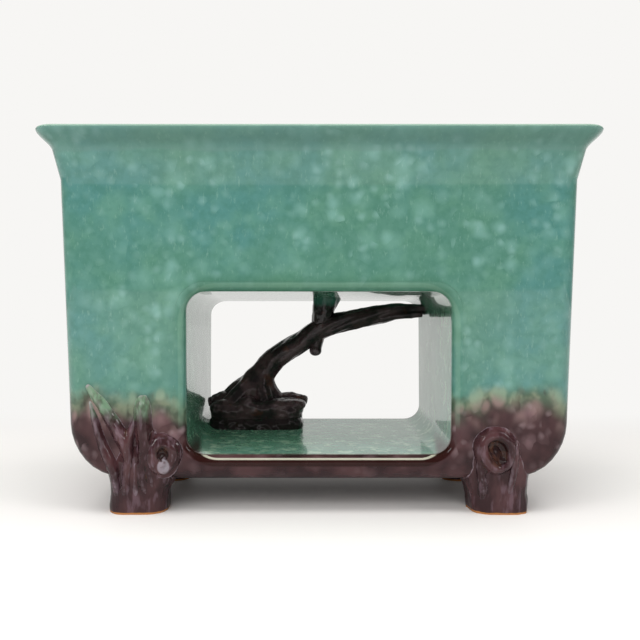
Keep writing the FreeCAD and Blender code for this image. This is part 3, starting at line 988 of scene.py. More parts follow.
@dataclass
class PotShell:
    """The cast shell: rounded underside, leaning walls, flared rim, window holes and drains."""

    flare_out: float = 11.8 * MM
    flare_height: float = 30 * MM
    gentle: float = 0.57
    quick_from: float = 0.6
    upright_from: float = 0.94
    lean_in: float = 6.0 * MM
    wall: float = 6 * MM
    lip: float = 3.6 * MM
    floor: float = 7 * MM
    end_round: float = 35 * MM
    side_round: float = 10 * MM
    corner: float = 8 * MM
    drain_radius: float = 7 * MM
    drain_inset: float = 38 * MM
    plug_spare: float = 20 * MM
    low: Vector = field(default_factory=lambda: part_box("pot_shell")[0])
    high: Vector = field(default_factory=lambda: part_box("pot_shell")[1])

    @property
    def neck_z(self) -> float:
        """Height where the flare starts."""
        return self.high.z - self.flare_height

    def half(self, axis: int, up: float) -> float:
        """Half the outer length (0) or depth (1) of the leaning walls at a height."""
        neck = self.high[axis] - self.flare_out
        return neck - self.lean_in * (self.neck_z - up) / (self.neck_z - self.low.z)

    def flare(self, share: float) -> float:
        """How far the wall has flared, 0 to 1, at a share of the flare's height: slow, quick, upright.

        Args:
            share: Height above the neck, as a share of the flare's height.

        Returns:
            How far out it is, as a share of the whole flare.
        """
        quick = min(max((share - self.quick_from) / (self.upright_from - self.quick_from), 0.0), 1.0)
        steady = self.gentle * min(share, self.upright_from)
        return steady + (1 - self.gentle * self.upright_from) * quick * quick * (3 - 2 * quick)

    def stations(self, inset: float, rim_inset: float, bottom: float) -> list[Ring]:
        """Rings from the underside to the rim, set in by a wall.

        Args:
            inset: How far the walls are set in from the outside.
            rim_inset: How far the rim is set in.
            bottom: Height of the lowest ring.

        Returns:
            The rings, from the lowest up.
        """
        round_step, wall_steps, flare_steps = 10, 7, 18
        end_round = self.end_round - inset
        side_round = self.side_round - inset
        rings = []
        for angle in range(90, -1, -round_step):
            up = bottom + end_round * (1 - math.sin(math.radians(angle)))
            tuck_x = end_round * (1 - math.cos(math.radians(angle)))
            dip = max(0.0, side_round - (up - bottom))
            tuck_y = side_round - math.sqrt(side_round ** 2 - dip ** 2)
            rings.append(Ring(up, self.half(0, up) - inset - tuck_x, self.half(1, up) - inset - tuck_y))
        top_of_round = rings[-1].up
        for step in range(1, wall_steps + 1):
            up = top_of_round + (self.neck_z - top_of_round) * step / wall_steps
            rings.append(Ring(up, self.half(0, up) - inset, self.half(1, up) - inset))
        for step in range(1, flare_steps + 1):
            share = step / flare_steps
            out = self.flare_out * self.flare(share) - inset - (rim_inset - inset) * share
            up = self.neck_z + self.flare_height * share
            rings.append(Ring(up, self.half(0, self.neck_z) + out, self.half(1, self.neck_z) + out))
        return rings

    def outer_form(self) -> bpy.types.Object:
        """The pot's outside as a solid, for cutting what is luted to it."""
        return stack("outer_form", self.corner, self.stations(0.0, 0.0, self.low.z))

    def is_inside(self, place: Vector) -> bool:
        """True on the shell's inner side, past the middle of its wall and floor.

        Args:
            place: A point of the shell.

        Returns:
            Whether it is on the inner side.
        """
        past_wall = self.lip * 0.55
        past_floor = self.low.z + self.floor * 0.6
        share = max((place.z - self.neck_z) / self.flare_height, 0.0)
        up = min(place.z, self.neck_z)
        out = self.flare_out * self.flare(share)
        tuck = min(max(self.low.z + self.end_round - place.z, 0.0), self.end_round)
        rounded = self.end_round - math.sqrt(self.end_round ** 2 - tuck ** 2)
        beyond_x = abs(place.x) - (self.half(0, up) + out - rounded - self.corner)
        beyond_y = abs(place.y) - (self.half(1, up) + out - self.corner)
        depth = self.corner - math.hypot(max(beyond_x, 0.0), max(beyond_y, 0.0))
        return depth > past_wall and place.z > past_floor

    def lip_rings(self, outer: Ring, inner: Ring) -> list[Ring]:
        """The rings that round the lip over.

        Args:
            outer: The outer wall's top ring.
            inner: The inner wall's top ring.

        Returns:
            The rings, from the outer wall to the inner one.
        """
        radius = self.lip * 0.45
        rings = []
        for angle in range(0, 181, 30):
            turn = math.radians(angle)
            up = self.high.z - radius * (1 - math.sin(turn))
            side, shift = (outer, -radius) if angle <= 90 else (inner, radius)
            move = shift * (1 - abs(math.cos(turn)))
            rings.append(Ring(up, side.half_x + move, side.half_y + move))
        return rings

    def build(self, liner: "WindowLiner") -> bpy.types.Object:
        """Build the hollow shell with its holes.

        Args:
            liner: The window's liner, whose outside sets the window holes.

        Returns:
            The shell.
        """
        outside = self.stations(0.0, 0.0, self.low.z)
        inside = self.stations(self.wall, self.lip, self.low.z + self.floor)
        rings = outside[:-1] + self.lip_rings(outside[-1], inside[-1]) + inside[-2::-1]
        shell = stack("pot_shell_glazed", self.corner, rings)
        plug = liner.block("window_plug", self.plug_spare)
        Bench.carve(shell, plug)
        Bench.drop(plug)
        for side in (-1, 1):
            Bench.clear()
            spot = (side * (self.half(0, self.low.z) - self.drain_inset), 0.0, self.low.z)
            bpy.ops.mesh.primitive_cylinder_add(vertices=32, radius=self.drain_radius, depth=30 * MM,
                                                location=spot)
            drill = bpy.context.object
            Bench.carve(shell, drill)
            Bench.drop(drill)
        Bench.settle(shell, 35)
        mark(shell, "bare", self.is_inside)
        return shell


@dataclass
class WindowLiner:
    """The liner between the two windows, with rounded mouths."""

    shell: PotShell
    length: float = 165 * MM
    height: float = 103.6 * MM
    sill: float = 35.6 * MM
    corner: float = 12 * MM
    wall: float = 6 * MM
    edge: float = 4.4 * MM
    rise: float = 8.6 * MM
    drop: float = 3.7 * MM
    spare: float = 5 * MM

    def lines(self, across: float) -> tuple[float, float]:
        """Heights of the tunnel's floor and ceiling at a place from front to back.

        Args:
            across: The place along Y.

        Returns:
            The two heights.
        """
        run = self.shell.high.y + self.spare
        share = (across + run) / (2 * run)
        return self.sill + self.rise * share, self.sill + self.height - self.drop * share

    def face(self, up: float) -> float:
        """Half depth of the pot at a height."""
        return self.shell.half(1, up)

    def block(self, name: str, spare: float, wall: float | None = None) -> bpy.types.Object:
        """The tunnel grown by a wall, as a solid.

        Args:
            name: Its name.
            spare: How far it runs past the pot's faces, taken at the window's middle.
            wall: How far it is grown; the liner's own wall where none is given.

        Returns:
            The solid.
        """
        grow = self.wall if wall is None else wall
        run = self.face(self.sill + self.height / 2) + spare
        ends = []
        for across in (-run, run):
            low, high = self.lines(across)
            ends.append(((high + low) / 2, (high - low) / 2 + grow))
        (front_middle, front_half), (back_middle, back_half) = ends
        piece = add_rounded_plate(name, self.length / 2 + grow, front_half, self.corner + grow, 8)
        Bench.edit(piece)
        bpy.ops.mesh.select_all(action="SELECT")
        bpy.ops.transform.rotate(value=math.pi / 2, orient_axis="X", center_override=(0, 0, 0))
        bpy.ops.transform.translate(value=(0, -run, front_middle))
        through = (0, 2 * run, back_middle - front_middle)
        bpy.ops.mesh.extrude_region_move(TRANSFORM_OT_translate={"value": through})
        bpy.ops.transform.resize(value=(1, 1, back_half / front_half), center_override=(0, run, back_middle))
        Bench.close()
        Bench.outward(piece)
        return piece

    def outline_gap(self, place: Vector) -> float:
        """How far a place is outside the opening's rounded outline, seen along Y.

        Args:
            place: The place.

        Returns:
            The distance, less than 0 inside the outline.
        """
        low, high = self.lines(place.y)
        across = max(abs(place.x) - (self.length / 2 - self.corner), 0.0)
        upward = max(abs(place.z - (low + high) / 2) - ((high - low) / 2 - self.corner), 0.0)
        return math.hypot(across, upward) - self.corner

    def is_inside_pot(self, place: Vector) -> bool:
        """True on the liner's outer side, which the pot's inside shows.

        Args:
            place: A point of the liner.

        Returns:
            Whether it is on the outer side.
        """
        past_wall = self.wall * 0.6
        off_mouths = self.face(place.z) - self.wall * 0.5
        return self.outline_gap(place) > past_wall and abs(place.y) < off_mouths

    def build(self) -> bpy.types.Object:
        """Build the liner: a block opened through, leaned to the walls and rounded at its mouths."""
        liner = self.block("window_liner_glazed", 0.0)
        middle = self.sill + self.height / 2
        face = self.face(middle)
        near = 0.01 * MM
        opening = 20 * MM
        Bench.edit(liner)
        for side in (-1, 1):
            Bench.pick(Element.FACES, lambda p, side=side: abs(p.y - side * face) < near)
            bpy.ops.mesh.inset(thickness=self.wall)
        Bench.pick(Element.FACES, lambda p: abs(abs(p.y) - face) < near and abs(p.z - middle) < opening
                   and abs(p.x) < opening)
        bpy.ops.mesh.bridge_edge_loops()
        for side in (-1, 1):
            bpy.ops.mesh.select_all(action="SELECT")
            bpy.ops.mesh.bisect(plane_co=(0, side * (face - self.wall), 0), plane_no=(0, 1, 0))
        self.lean_mouths(face, middle)
        self.round_mouths()
        Bench.close()
        Bench.outward(liner)
        Bench.settle(liner, 60)
        mark(liner, "bare", self.is_inside_pot)
        return liner

    def lean_mouths(self, face: float, middle: float) -> None:
        """Slide each mouth's corners in or out so that it lies in the leaning wall.

        Args:
            face: Half depth of the pot at the window's middle.
            middle: Height of the window's middle.
        """
        slope = self.shell.lean_in / (self.shell.neck_z - self.shell.low.z)
        mesh = bmesh.from_edit_mesh(bpy.context.edit_object.data)
        for corner in mesh.verts:
            if abs(corner.co.y) > face - self.wall * 0.5:
                corner.co.y = math.copysign(face + (corner.co.z - middle) * slope, corner.co.y)
        bmesh.update_edit_mesh(bpy.context.edit_object.data)

    def round_mouths(self) -> None:
        """Round the inner edge of both mouths."""
        near = 0.9 * MM

        def on_mouth(middle: Vector) -> bool:
            """True on a wall face, on the opening's outline."""
            on_face = abs(abs(middle.y) - self.face(middle.z)) < near
            return on_face and abs(self.outline_gap(middle)) < near

        Bench.pick(Element.EDGES, on_mouth)
        bpy.ops.mesh.bevel(offset=self.edge, segments=5, affect="EDGES")


# ------------------------------------------------------------------ feet, roots and branch

@dataclass
class Gnarls:
    """Feet and applied roots; the pot's outside cuts them where they are luted on."""

    outer_form: bpy.types.Object
    shell: PotShell
    half_x: float = 18.4 * MM
    half_y: float = 16.6 * MM
    corner_share: float = 0.62
    squareness: float = 0.62
    foot_roots: int = 10
    skirt_sink: float = 1.2
    skirt_grow: float = 1.75
    skirt_above: float = 6 * MM
    foot_bark: Bark = Bark(voxel=0.8 * MM, lumps=1.6 * MM, lump_size=12 * MM, grain=0.2 * MM, soften=7)
    relief_bark: Bark = Bark(voxel=0.65 * MM, lumps=1.0 * MM, lump_size=9 * MM, grain=0.2 * MM, soften=7,
                             grain_size=3 * MM)
    # Height, half length, how far the front stands off the underside's edge, and lean, in millimetres.
    foot_line: Sequence[tuple[float, float, float, float]] = (
        (-3.0, 17.4, -1.2, 0.0), (1.0, 18.2, -0.4, 0.0), (5.0, 18.5, -0.2, 0.0), (11.0, 18.2, 0.0, 0.4),
        (16.0, 19.0, 0.6, 1.2), (21.0, 20.8, 1.4, 2.4), (26.0, 22.2, 2.2, 3.2), (33.0, 22.4, 2.6, 3.6),
        (41.0, 20.6, 1.6, 4.0), (49.0, 15.0, -1.6, 5.0))

    def on_face(self, face: Face, foot_x: float, along: float, up: float, proud: float = 0.0) -> Point:
        """A place on a long face, from the middle of a foot.

        Args:
            face: The long face.
            foot_x: Where the foot's middle is along the front.
            along: Distance from the foot's middle towards the pot's nearer end, in millimetres.
            up: Height above the underside, in millimetres.
            proud: How far it stands off the wall, in millimetres.

        Returns:
            The place.
        """
        turn = face.value
        height = self.shell.low.z + up * MM
        x = foot_x + along * MM * math.copysign(1.0, foot_x)
        return (turn * x, -turn * (self.shell.half(1, height) + proud * MM), height)

    def finish(self, name: str, node: str, forms: Sequence[Form], bark: Bark) -> bpy.types.Object:
        """Fuse a form, cut it to the pot's outside and mark its ridges.

        Args:
            name: The piece's name.
            node: The node that it stands for.
            forms: Its strands and lumps.
            bark: How it is roughened.

        Returns:
            The piece.
        """
        piece = bark.fuse(name, forms)
        Bench.carve(piece, self.outer_form)
        Bench.settle(piece, 60)
        mark_proudness(piece)
        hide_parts(node)
        return piece

    def side_root(self, rings: Sequence[Ring], angle: float, chance: random.Random) -> Root:
        """A root down the side of a foot.

        Args:
            rings: The stump's rings.
            angle: Where it runs, round the stump.
            chance: What makes it uneven.

        Returns:
            The root.
        """
        thick = chance.uniform(3.2, 4.6) * MM
        proud = chance.uniform(0.1, 0.8) * MM
        side_x, side_y = (math.copysign(abs(part) ** self.squareness, part)
                          for part in (math.cos(angle), math.sin(angle)))
        drift = chance.uniform(-2.0, 2.0) * MM
        points = []
        for ring in rings:
            out_x = (ring.half_x - thick + proud) * side_x
            out_y = (ring.half_y - thick + proud) * side_y
            x = ring.shift[0] + out_x + drift * ring.up / rings[-1].up
            points.append((x, ring.shift[1] + out_y, ring.up))
        return Root(points, [thick * chance.uniform(0.85, 1.12) for _ in points])

    def foot(self, node: str, seed: int) -> bpy.types.Object:
        """One stump foot: a rounded stump that leans to the pot's middle, with roots down its sides.

        Args:
            node: The foot's node.
            seed: Seed of its unevenness.

        Returns:
            The foot.
        """
        low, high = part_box(node)
        chance = random.Random(seed)
        middle_x = (low.x + high.x) / 2
        inward = -math.copysign(1.0, middle_x)
        middle_y = math.copysign(self.shell.half(1, self.shell.low.z) - self.half_y, low.y + high.y)
        rings = [Ring(up * MM, half_x * MM, self.half_y + proud * MM,
                      (middle_x + inward * lean * MM, middle_y))
                 for up, half_x, proud, lean in self.foot_line]
        forms: list[Form] = [Stump(self.half_x * self.corner_share, rings)]
        for strand in range(self.foot_roots):
            angle = 2 * math.pi * (strand + chance.uniform(-0.25, 0.25)) / self.foot_roots
            forms.append(self.side_root(rings, angle, chance))
        piece = self.finish(f"{node}_bark", node, forms, self.foot_bark)
        self.level(piece)
        return piece

    def level(self, piece: bpy.types.Object) -> None:
        """Cut a foot flat where it stands on the ground.

        Args:
            piece: The foot.
        """
        Bench.edit(piece)
        bpy.ops.mesh.select_all(action="SELECT")
        bpy.ops.mesh.bisect(plane_co=(0, 0, 0), plane_no=(0, 0, 1), use_fill=True, clear_inner=True)
        Bench.close()

    def strand(self, face: Face, foot_x: float, *stations: Station) -> Root:
        """A root over the wall through stations counted from the middle of a foot."""
        points = [self.on_face(face, foot_x, along, up, proud) for along, up, proud, _ in stations]
        return Root(points, [radius * MM for *_, radius in stations])

    def applied(self, kind: str, face: Face, forms: Sequence[Form]) -> bpy.types.Object:
        """One piece of relief, whose strands widen where they meet the wall.

        Args:
            kind: What it is, as in its node's name.
            face: The long face that it lies on.
            forms: Its strands and lumps.

        Returns:
            The piece.
        """
        node = f"{kind}_{face.name.lower()}"
        above = self.shell.low.z + self.skirt_above
        skirts = [skirt for form in forms if isinstance(form, Root)
                  for skirt in form.skirt(self.skirt_sink, self.skirt_grow, above)]
        return self.finish(f"{node}_bark", node, [*forms, *skirts], self.relief_bark)

    def relief(self, face: Face) -> list[bpy.types.Object]:
        """The roots and knots on one long face.

        Args:
            face: The long face.

        Returns:
            The pieces.
        """
        left, right = (sum(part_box(foot), Vector()).x / 2 for foot in ("foot_front_left", "foot_front_right"))
        forms = {**self.over_left_foot(face, left), **self.over_right_foot(face, right)}
        return [self.applied(kind, face, parts) for kind, parts in forms.items()]

    def over_left_foot(self, face: Face, foot_x: float) -> dict[str, Sequence[Form]]:
        """Forms of the two twigs, the stub and the round knot.

        Args:
            face: The long face.
            foot_x: Where the foot's middle is along the front.

        Returns:
            Each piece's forms, by what the piece is.
        """
        root = partial(self.strand, face, foot_x)
        outer = root((27.2, 50, -0.6, 1.0), (25.6, 43, 0.0, 1.6), (24.2, 38, 0.3, 1.9), (22.1, 31, 0.6, 2.1),
                     (19.6, 23, 0.9, 2.3), (15.9, 15, 1.1, 2.6), (13.0, 8, 1.0, 2.9), (11.8, 1, 0.4, 2.9),
                     (11.4, -6, -1.8, 2.6), (11.4, -13, -5.0, 2.0))
        inner = root((29.0, 60, -0.6, 1.6), (25.0, 54, 0.2, 2.2), (20.9, 49.4, 0.9, 2.6),
                     (15.9, 41.4, 1.3, 2.9), (11.6, 34, 1.6, 3.2), (7.9, 27.8, 1.9, 3.5),
                     (4.6, 21.5, 1.7, 3.3), (3.4, 14, 1.2, 3.0),
                     (4.4, 5, 0.8, 3.2), (5.6, -3, -0.2, 3.0), (6.2, -10, -2.4, 2.6), (6.4, -17, -5.5, 2.0))
        web = root((-2.6, 46, -0.8, 1.1), (-0.6, 38, 0.2, 1.7), (1.6, 30.5, 0.9, 2.3), (4.4, 25.5, 1.4, 2.8),
                   (4.6, 18, 1.6, 3.0))
        finger = root((-5.0, 53, -0.4, 2.4), (-5.1, 49.5, 1.2, 3.7), (-5.3, 42, 1.9, 4.0),
                      (-5.8, 33, 2.2, 4.0), (-6.6, 24, 2.2, 3.6), (-6.0, 15, 1.8, 3.0),
                      (-4.2, 7, 1.2, 2.8), (-5.2, -1, 0.8, 2.6),
                      (-7.4, -9, -2.0, 2.2), (-8.4, -16, -5.0, 1.8))
        elbow = root((-12.4, 31, -0.6, 1.5), (-11.2, 27, 1.0, 2.1), (-9.6, 21.5, 2.2, 2.5),
                     (-8.6, 14, 2.2, 2.4), (-9.4, 6, 1.2, 2.2), (-10.6, -3, -0.8, 2.2),
                     (-11.0, -11, -4.5, 1.8))
        fold = root((-1.6, 12, 0.8, 2.0), (-1.2, 4, 1.0, 2.0), (-0.6, -4, 0.0, 2.2), (-1.0, -11, -2.4, 2.0),
                    (-1.4, -18, -5.0, 1.8))
        rim = self.ring(self.on_face(face, foot_x, -18.0, 15.5), face, (6.6, 9.2), 3.3, -0.1, 2.4)
        facet = root((-14.6, 7.0, 1.8, 2.4), (-17.6, 11.0, 3.2, 3.6), (-20.6, 15.6, 2.2, 2.6))
        nose = root((-13.0, 24.5, 1.6, 2.6), (-16.0, 26.5, 2.4, 3.0), (-19.6, 25.5, 1.8, 2.6))
        bulge = Lump(self.on_face(face, foot_x, -18.0, 14.0), (10.5 * MM, 3.0 * MM, 12.5 * MM))
        return {"outer_twig": [outer, *bundle(outer, 3, 0.4, 0.65, 0.5, 11)],
                "inner_twig": [inner, web, *bundle(inner, 3, 0.45, 0.6, 0.4, 12)],
                "finger_stub": [finger, elbow, fold, *bundle(finger, 3, 0.4, 0.65, 0.3, 13)],
                "round_knot": [rim, facet, nose, bulge]}

    def over_right_foot(self, face: Face, foot_x: float) -> dict[str, Sequence[Form]]:
        """Forms of the hollow knot and the ridge beside it.

        Args:
            face: The long face.
            foot_x: Where the foot's middle is along the front.

        Returns:
            Each piece's forms, by what the piece is.
        """
        root = partial(self.strand, face, foot_x)
        hollow = self.on_face(face, foot_x, -4.6, 18.5)
        rim = self.ring(hollow, face, (8.6, 11.8), 3.4, 0.42, 2.4)
        bowl = self.ring(hollow, face, (3.6, 6.6), 1.5, 0.42, 0.9)
        fold = root((-15.0, 14, 0.6, 2.6), (-14.6, 6, 1.4, 3.2), (-13.0, -2, 0.2, 3.2),
                    (-12.0, -9, -2.4, 2.8), (-11.4, -16, -6.0, 2.2))
        ridge = root((7.8, 27, -3.4, 1.6), (7.4, 24, -0.8, 2.1), (6.6, 19, 1.3, 2.4), (6.2, 9, 1.4, 2.5),
                     (4.6, -1, 0.4, 2.7), (3.4, -9, -2.0, 2.4), (2.6, -16, -5.5, 2.0))
        return {"hollow_knot": [rim, bowl, fold],
                "bark_ridge": [ridge, *bundle(ridge, 2, 0.4, 0.65, 0.4, 14)]}

    def ring(self, centre: Point, face: Face, half: tuple[float, float], radius: float, tilt: float,
             proud: float) -> Root:
        """A closed oval root round a knot, uneven in outline and thickness.

        Args:
            centre: The knot's middle on the wall.
            face: The long face.
            half: Half its width and half its height before the tilt, in millimetres.
            radius: The root's radius, in millimetres.
            tilt: How far its top leans to the left of the front, in radians.
            proud: How far it stands off the wall, in millimetres.

        Returns:
            The oval root.
        """
        turn = face.value
        half_x, half_z = (size * MM for size in half)
        count = 10
        points, radii = [], []
        for step in range(count):
            angle = 2 * math.pi * step / count
            x = half_x * math.cos(angle) * (1.0 + 0.1 * math.sin(angle * 3 + 0.4))
            z = half_z * math.sin(angle) * (1.0 + 0.08 * math.cos(angle * 2))
            points.append((centre[0] + turn * (x * math.cos(tilt) - z * math.sin(tilt)),
                           centre[1] - turn * (proud * MM),
                           centre[2] + x * math.sin(tilt) + z * math.cos(tilt)))
            uneven = 1.0 + 0.22 * math.sin(angle * 2 + 0.7) + 0.22 * math.sin(angle - 0.5)
            radii.append(radius * MM * uneven)
        return Root(points, radii, closed=True)


@dataclass
class Branch:
    """The ceramic branch on its rock in the window."""

    liner: WindowLiner
    middle_y: float = 32 * MM
    liner_lap: float = 2.4 * MM
    bark: Bark = Bark(voxel=0.75 * MM, lumps=0.8 * MM, lump_size=7 * MM, grain=0.35 * MM, soften=5)
    rock_bark: Bark = Bark(voxel=0.8 * MM, lumps=3.0 * MM, lump_size=9 * MM, grain=0.5 * MM, soften=4)

    def spot(self, along: float, up: float, back: float = 0.0) -> Point:
        """A place in the branch's plane: millimetres along X, up from the ground and back from the plane."""
        return (along * MM, self.middle_y + back * MM, up * MM)

    def root(self, *stations: Station) -> Root:
        """A strand of the branch through stations in its plane."""
        return Root([self.spot(along, up, back) for along, up, back, _ in stations],
                    [radius * MM for *_, radius in stations])

    def limb(self) -> bpy.types.Object:
        """The limb, wound from strands and spread over the rock at its root."""
        main = self.root(
            (-60, 58, 1, 12.5), (-52, 65, 1, 12.0), (-46, 73.5, 1, 10.6), (-39.8, 81.5, 1, 9.2),
            (-34, 88, 1, 8.4), (-28, 94, 0, 8.0), (-18.7, 99.5, -1, 8.2), (-8.8, 105.9, 0, 7.8),
            (1, 113.2, 0, 8.4), (10.8, 117.2, 0, 7.8), (19.9, 119.4, 0, 7.4), (35.8, 122.8, 1, 7.6),
            (50.2, 125.6, 1, 7.2),
            (60.7, 128.0, 0, 6.2), (71.7, 128.8, 0, 4.4), (79, 129.2, 0, 3.8), (87, 129.4, 0, 4.2))
        legs = [
            self.root((-81, 59, 0, 3.5), (-71, 60.5, 0, 5.4), (-61, 65, 0, 6.6), (-53, 72, 0, 6.6),
                      (-45, 81, 0, 5.0)),
            self.root((-20, 56, -2, 4.0), (-28, 61, -2, 5.5), (-34.5, 68, -2, 5.8), (-37, 78, -1, 5.0),
                      (-34, 86, 0, 4.0)),
            self.root((-66, 56, -10, 6.5), (-60, 62, -8, 7.5), (-52, 71, -5, 7.0), (-44, 81, -2, 5.0)),
            self.root((-36, 56, -8, 6.5), (-38, 63, -7, 6.5), (-41, 73, -5, 6.0), (-38, 84, -2, 4.4)),
            self.root((-50, 54, 10, 7.0), (-48, 64, 8, 6.6), (-43, 80, 4, 5.0))]
        fork = self.root((48, 122, -3, 3.6), (60, 124.4, -4, 3.2), (71, 124.6, -4, 2.6), (80, 125, -4, 2.2))
        forms = [main, fork, *legs, *bundle(main, 5, 0.6, 0.5, 0.7, 21), *bundle(main, 3, 0.78, 0.3, 0.9, 25)]
        return self.finish("branch_limb_bark", "branch_limb", forms, self.bark)

    def knob(self) -> bpy.types.Object:
        """The upright knob that reaches the liner's ceiling."""
        main = self.root((4, 114, 0, 7.4), (5.0, 121, 0, 8.4), (5.6, 129, 0, 8.4), (7.0, 134, 0, 9.2),
                         (8.4, 140, 0, 10.6))
        forms = [main, *bundle(main, 4, 0.4, 0.62, 0.2, 22)]
        return self.finish("branch_knob_bark", "branch_knob", forms, self.bark)

    def stub(self) -> bpy.types.Object:
        """The broken stub under the limb."""
        main = self.root((1.4, 109, 0, 5.8), (0.6, 103, 0, 5.2), (-0.2, 98.5, 0, 4.6))
        tip = Lump(self.spot(-0.2, 98.0), (5.0 * MM, 5.2 * MM, 4.2 * MM))
        forms = [main, tip, *bundle(main, 3, 0.4, 0.55, 0.2, 23)]
        return self.finish("branch_stub_bark", "branch_stub", forms, self.bark)

    def slab(self, *levels: tuple[float, float, float, float]) -> Stump:
        """A stump in the branch's plane; each level is height, half sizes and shift, in millimetres."""
        middle = -44.5 * MM
        corner = 9 * MM
        return Stump(corner, [Ring(up * MM, half_x * MM, half_y * MM, (middle + shift * MM, self.middle_y))
                              for up, half_x, half_y, shift in levels])

    def rock(self) -> bpy.types.Object:
        """The rock under the branch, on a plinth slab that it overhangs a little."""
        plinth = self.slab((38.0, 34.6, 17.0, 0.0), (44.0, 34.6, 17.0, 0.0), (47.6, 34.0, 16.4, 0.0),
                           (48.6, 32.6, 15.0, 0.0), (52.0, 31.0, 13.0, 0.0))
        body = self.slab((47.0, 31.0, 13.0, 0.0), (49.6, 34.2, 16.4, 0.0), (54.0, 35.2, 17.4, 0.0),
                         (58.5, 34.6, 16.8, 0.6), (61.5, 31.5, 14.5, 1.6), (63.5, 25.0, 11.0, 2.0))
        nose = self.root((-32, 58, 0, 7), (-22, 60.4, -1, 6.6), (-13, 60.6, -1, 5.4), (-6.5, 60, -1, 3.4))
        shoulder = self.root((-77, 58, 0, 6), (-66, 62, 0, 7.5), (-54, 64, 0, 8))
        chunks = [Lump(self.spot(along, up, back), (half_x * MM, half_y * MM, half_z * MM), lean)
                  for along, up, back, half_x, half_y, half_z, lean in (
                      (-67, 55, -9, 11, 8.6, 6.4, -8.0), (-49, 57, -10, 12, 7.6, 8.0, 12.0),
                      (-31, 55, -9, 10, 8.8, 6.2, -14.0), (-17, 57, -8, 10, 8.8, 5.4, -6.0),
                      (-60, 57, 9, 14, 8.0, 7.0, 6.0), (-30, 57, 9, 14, 8.0, 6.4, -6.0))]
        forms = [plinth, body, nose, shoulder, *chunks]
        return self.finish("branch_base_bark", "branch_base", forms, self.rock_bark)

    def finish(self, name: str, node: str, forms: Sequence[Form], bark: Bark) -> bpy.types.Object:
        """Fuse one piece, keep what is inside the liner's wall and mark its ridges.

        Args:
            name: The piece's name.
            node: The node that it stands for.
            forms: Its strands and lumps.
            bark: How it is roughened.

        Returns:
            The piece.
        """
        piece = bark.fuse(name, forms)
        block = self.liner.block("liner_block", 0.0, self.liner_lap)
        Bench.carve(piece, block, Cut.OUTSIDE)
        Bench.drop(block)
        Bench.settle(piece, 60)
        mark_proudness(piece)
        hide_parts(node)
        return piece


# ------------------------------------------------------------------ studio

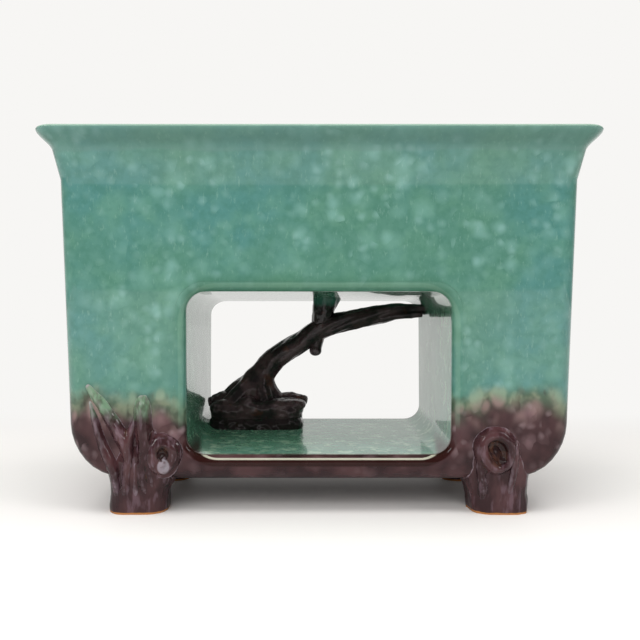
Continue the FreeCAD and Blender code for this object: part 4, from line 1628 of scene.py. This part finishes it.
@dataclass
class Studio:
    """Pale floor, soft light and the camera."""

    backdrop: Colour = tone(247, 246, 244)
    paper: Colour = tone(250, 247, 244)
    eye: Point = (-11.7 * MM, -491.5 * MM, 121 * MM)
    lens: float = 39.0
    shift: float = 0.031
    floor_dim: float = 0.62
    fill: float = 0.33

    def floor(self) -> None:
        """A pale paper floor, dimmer in the glaze, that fades away from the pot into the surroundings."""
        Bench.clear()
        bpy.ops.mesh.primitive_plane_add(size=12.0, location=(0, 0, 0))
        floor = bpy.context.object
        floor.name = "studio_floor"
        shader = Shader("studio_paper")
        mirrored = shader.value("ShaderNodeLightPath", {}, {}, "Is Glossy Ray")
        shown = shader.mix(mirrored * self.floor_dim, self.paper, tone(0, 0, 0))
        paper = shader.node("ShaderNodeBsdfPrincipled", {}, {"Base Color": shown, "Roughness": 0.6})
        glow = shader.node("ShaderNodeEmission", {}, {"Color": self.backdrop, "Strength": 1.0})
        behind = shader.y.step(0.12, 0.42)
        around = (shader.x * shader.x + shader.y * shader.y).math("SQRT").step(0.3, 0.9)
        blend = shader.node("ShaderNodeMixShader", {}, {0: shader.larger(behind, around), 1: paper.outputs[0],
                                                        2: glow.outputs[0]})
        shader.node("ShaderNodeOutputMaterial", {}, {"Surface": blend.outputs[0]})
        floor.data.materials.append(shader.material)

    def lamp(self, name: str, place: Point, size: tuple[float, float], power: float, glossy: bool) -> None:
        """A soft rectangular lamp that faces the pot.

        Args:
            name: Its name.
            place: Where it stands.
            size: Its width and height in metres.
            power: Its power in watts.
            glossy: Whether it shows in the glaze.
        """
        Bench.clear()
        bpy.ops.object.light_add(type="AREA", location=place)
        lamp = bpy.context.object
        lamp.name = name
        lamp.rotation_euler = (Vector((0, 0, 0.1)) - Vector(place)).to_track_quat("-Z", "Y").to_euler()
        lamp.data.shape = "RECTANGLE"
        lamp.data.size, lamp.data.size_y = size
        lamp.data.energy = power
        lamp.visible_glossy = glossy

    def light(self) -> None:
        """A bright backdrop, dimmer surroundings in the glaze's reflections, and soft lamps."""
        world = bpy.data.worlds.new("studio_world")
        bpy.context.scene.world = world
        world.use_nodes = True
        tree = world.node_tree
        tree.nodes.clear()

        def add(kind: str, **inputs: object) -> bpy.types.Node:
            """Add one node to the surroundings.

            Args:
                kind: The node's type.
                inputs: A number, colour or socket for each input socket.

            Returns:
                The node.
            """
            node = tree.nodes.new(kind)
            for name, value in inputs.items():
                socket = node.inputs[name.replace("_", " ")]
                if isinstance(value, bpy.types.NodeSocket):
                    tree.links.new(value, socket)
                else:
                    socket.default_value = value
            return node

        way = add("ShaderNodeTexCoord").outputs["Generated"]
        across = add("ShaderNodeSeparateXYZ", Vector=way).outputs["Y"]
        reflected = add("ShaderNodeMapRange", Value=across, From_Min=0.1, From_Max=0.75, To_Min=0.1,
                        To_Max=0.95).outputs["Result"]
        path = add("ShaderNodeLightPath")
        dim = add("ShaderNodeMix", Factor=path.outputs["Is Glossy Ray"], A=self.fill,
                  B=reflected).outputs["Result"]
        strength = add("ShaderNodeMix", Factor=path.outputs["Is Camera Ray"], A=dim, B=1.0).outputs["Result"]
        sky = add("ShaderNodeBackground", Color=self.backdrop, Strength=strength)
        add("ShaderNodeOutputWorld", Surface=sky.outputs[0])
        self.lamp("lamp_over", (0.0, -0.35, 1.5), (1.6, 1.0), 18.0, False)
        self.lamp("lamp_front", (-0.35, -1.5, 0.95), (1.6, 0.8), 15.0, False)
        self.lamp("lamp_left", (-1.1, -0.9, 0.9), (0.35, 0.5), 3.0, True)
        self.lamp("lamp_right", (1.2, -0.7, 0.8), (0.3, 0.5), 2.0, True)

    def camera(self) -> None:
        """A level camera in front of the pot."""
        Bench.clear()
        bpy.ops.object.camera_add(location=self.eye, rotation=(math.pi / 2, 0, 0))
        camera = bpy.context.object
        camera.name = "camera"
        camera.data.lens = self.lens
        camera.data.sensor_width = 36.0
        camera.data.shift_x = self.shift
        camera.data.clip_start = 0.01
        bpy.context.scene.camera = camera
        bpy.context.scene.view_settings.view_transform = "Standard"

    def set_up(self) -> None:
        """Place everything."""
        self.camera()
        self.floor()
        self.light()


# ------------------------------------------------------------------ assembly

def dress(piece: bpy.types.Object, finish: bpy.types.Material, slot: str) -> None:
    """Give a piece its glaze and its body, and report it with its slot.

    Args:
        piece: The piece.
        finish: Its glaze.
        slot: The record's material slot.
    """
    piece.data.materials.clear()
    piece.data.materials.append(finish)
    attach(piece, "root")
    LOG.info("%s: %d faces, %s", piece.name, len(piece.data.polygons), slot)


def main() -> None:
    """Build, glaze and light the pot."""
    logging.basicConfig(level=logging.INFO, format="%(name)s %(message)s")
    Studio().set_up()
    shell = PotShell()
    liner = WindowLiner(shell)
    jade = JadeGlaze(liner).material()
    lining = JadeGlaze(liner, name="jade_lining", lining=True).material()
    bark = BarkGlaze().material()
    black = BranchGlaze().material()

    shell_piece = shell.build(liner)
    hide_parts("pot_shell")
    dress(shell_piece, jade, "pot_glaze")
    liner_piece = liner.build()
    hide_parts("window_tunnel")
    dress(liner_piece, lining, "pot_glaze")

    outer_form = shell.outer_form()
    gnarls = Gnarls(outer_form, shell)
    feet = ("foot_front_left", "foot_front_right", "foot_back_left", "foot_back_right")
    for seed, node in enumerate(feet, start=31):
        dress(gnarls.foot(node, seed), bark, "relief_glaze")
    for face in Face:
        for piece in gnarls.relief(face):
            dress(piece, bark, "relief_glaze")
    Bench.drop(outer_form)

    branch = Branch(liner)
    for piece in (branch.rock(), branch.limb(), branch.knob(), branch.stub()):
        dress(piece, black, "branch_glaze")


if __name__ == "__main__":
    main()
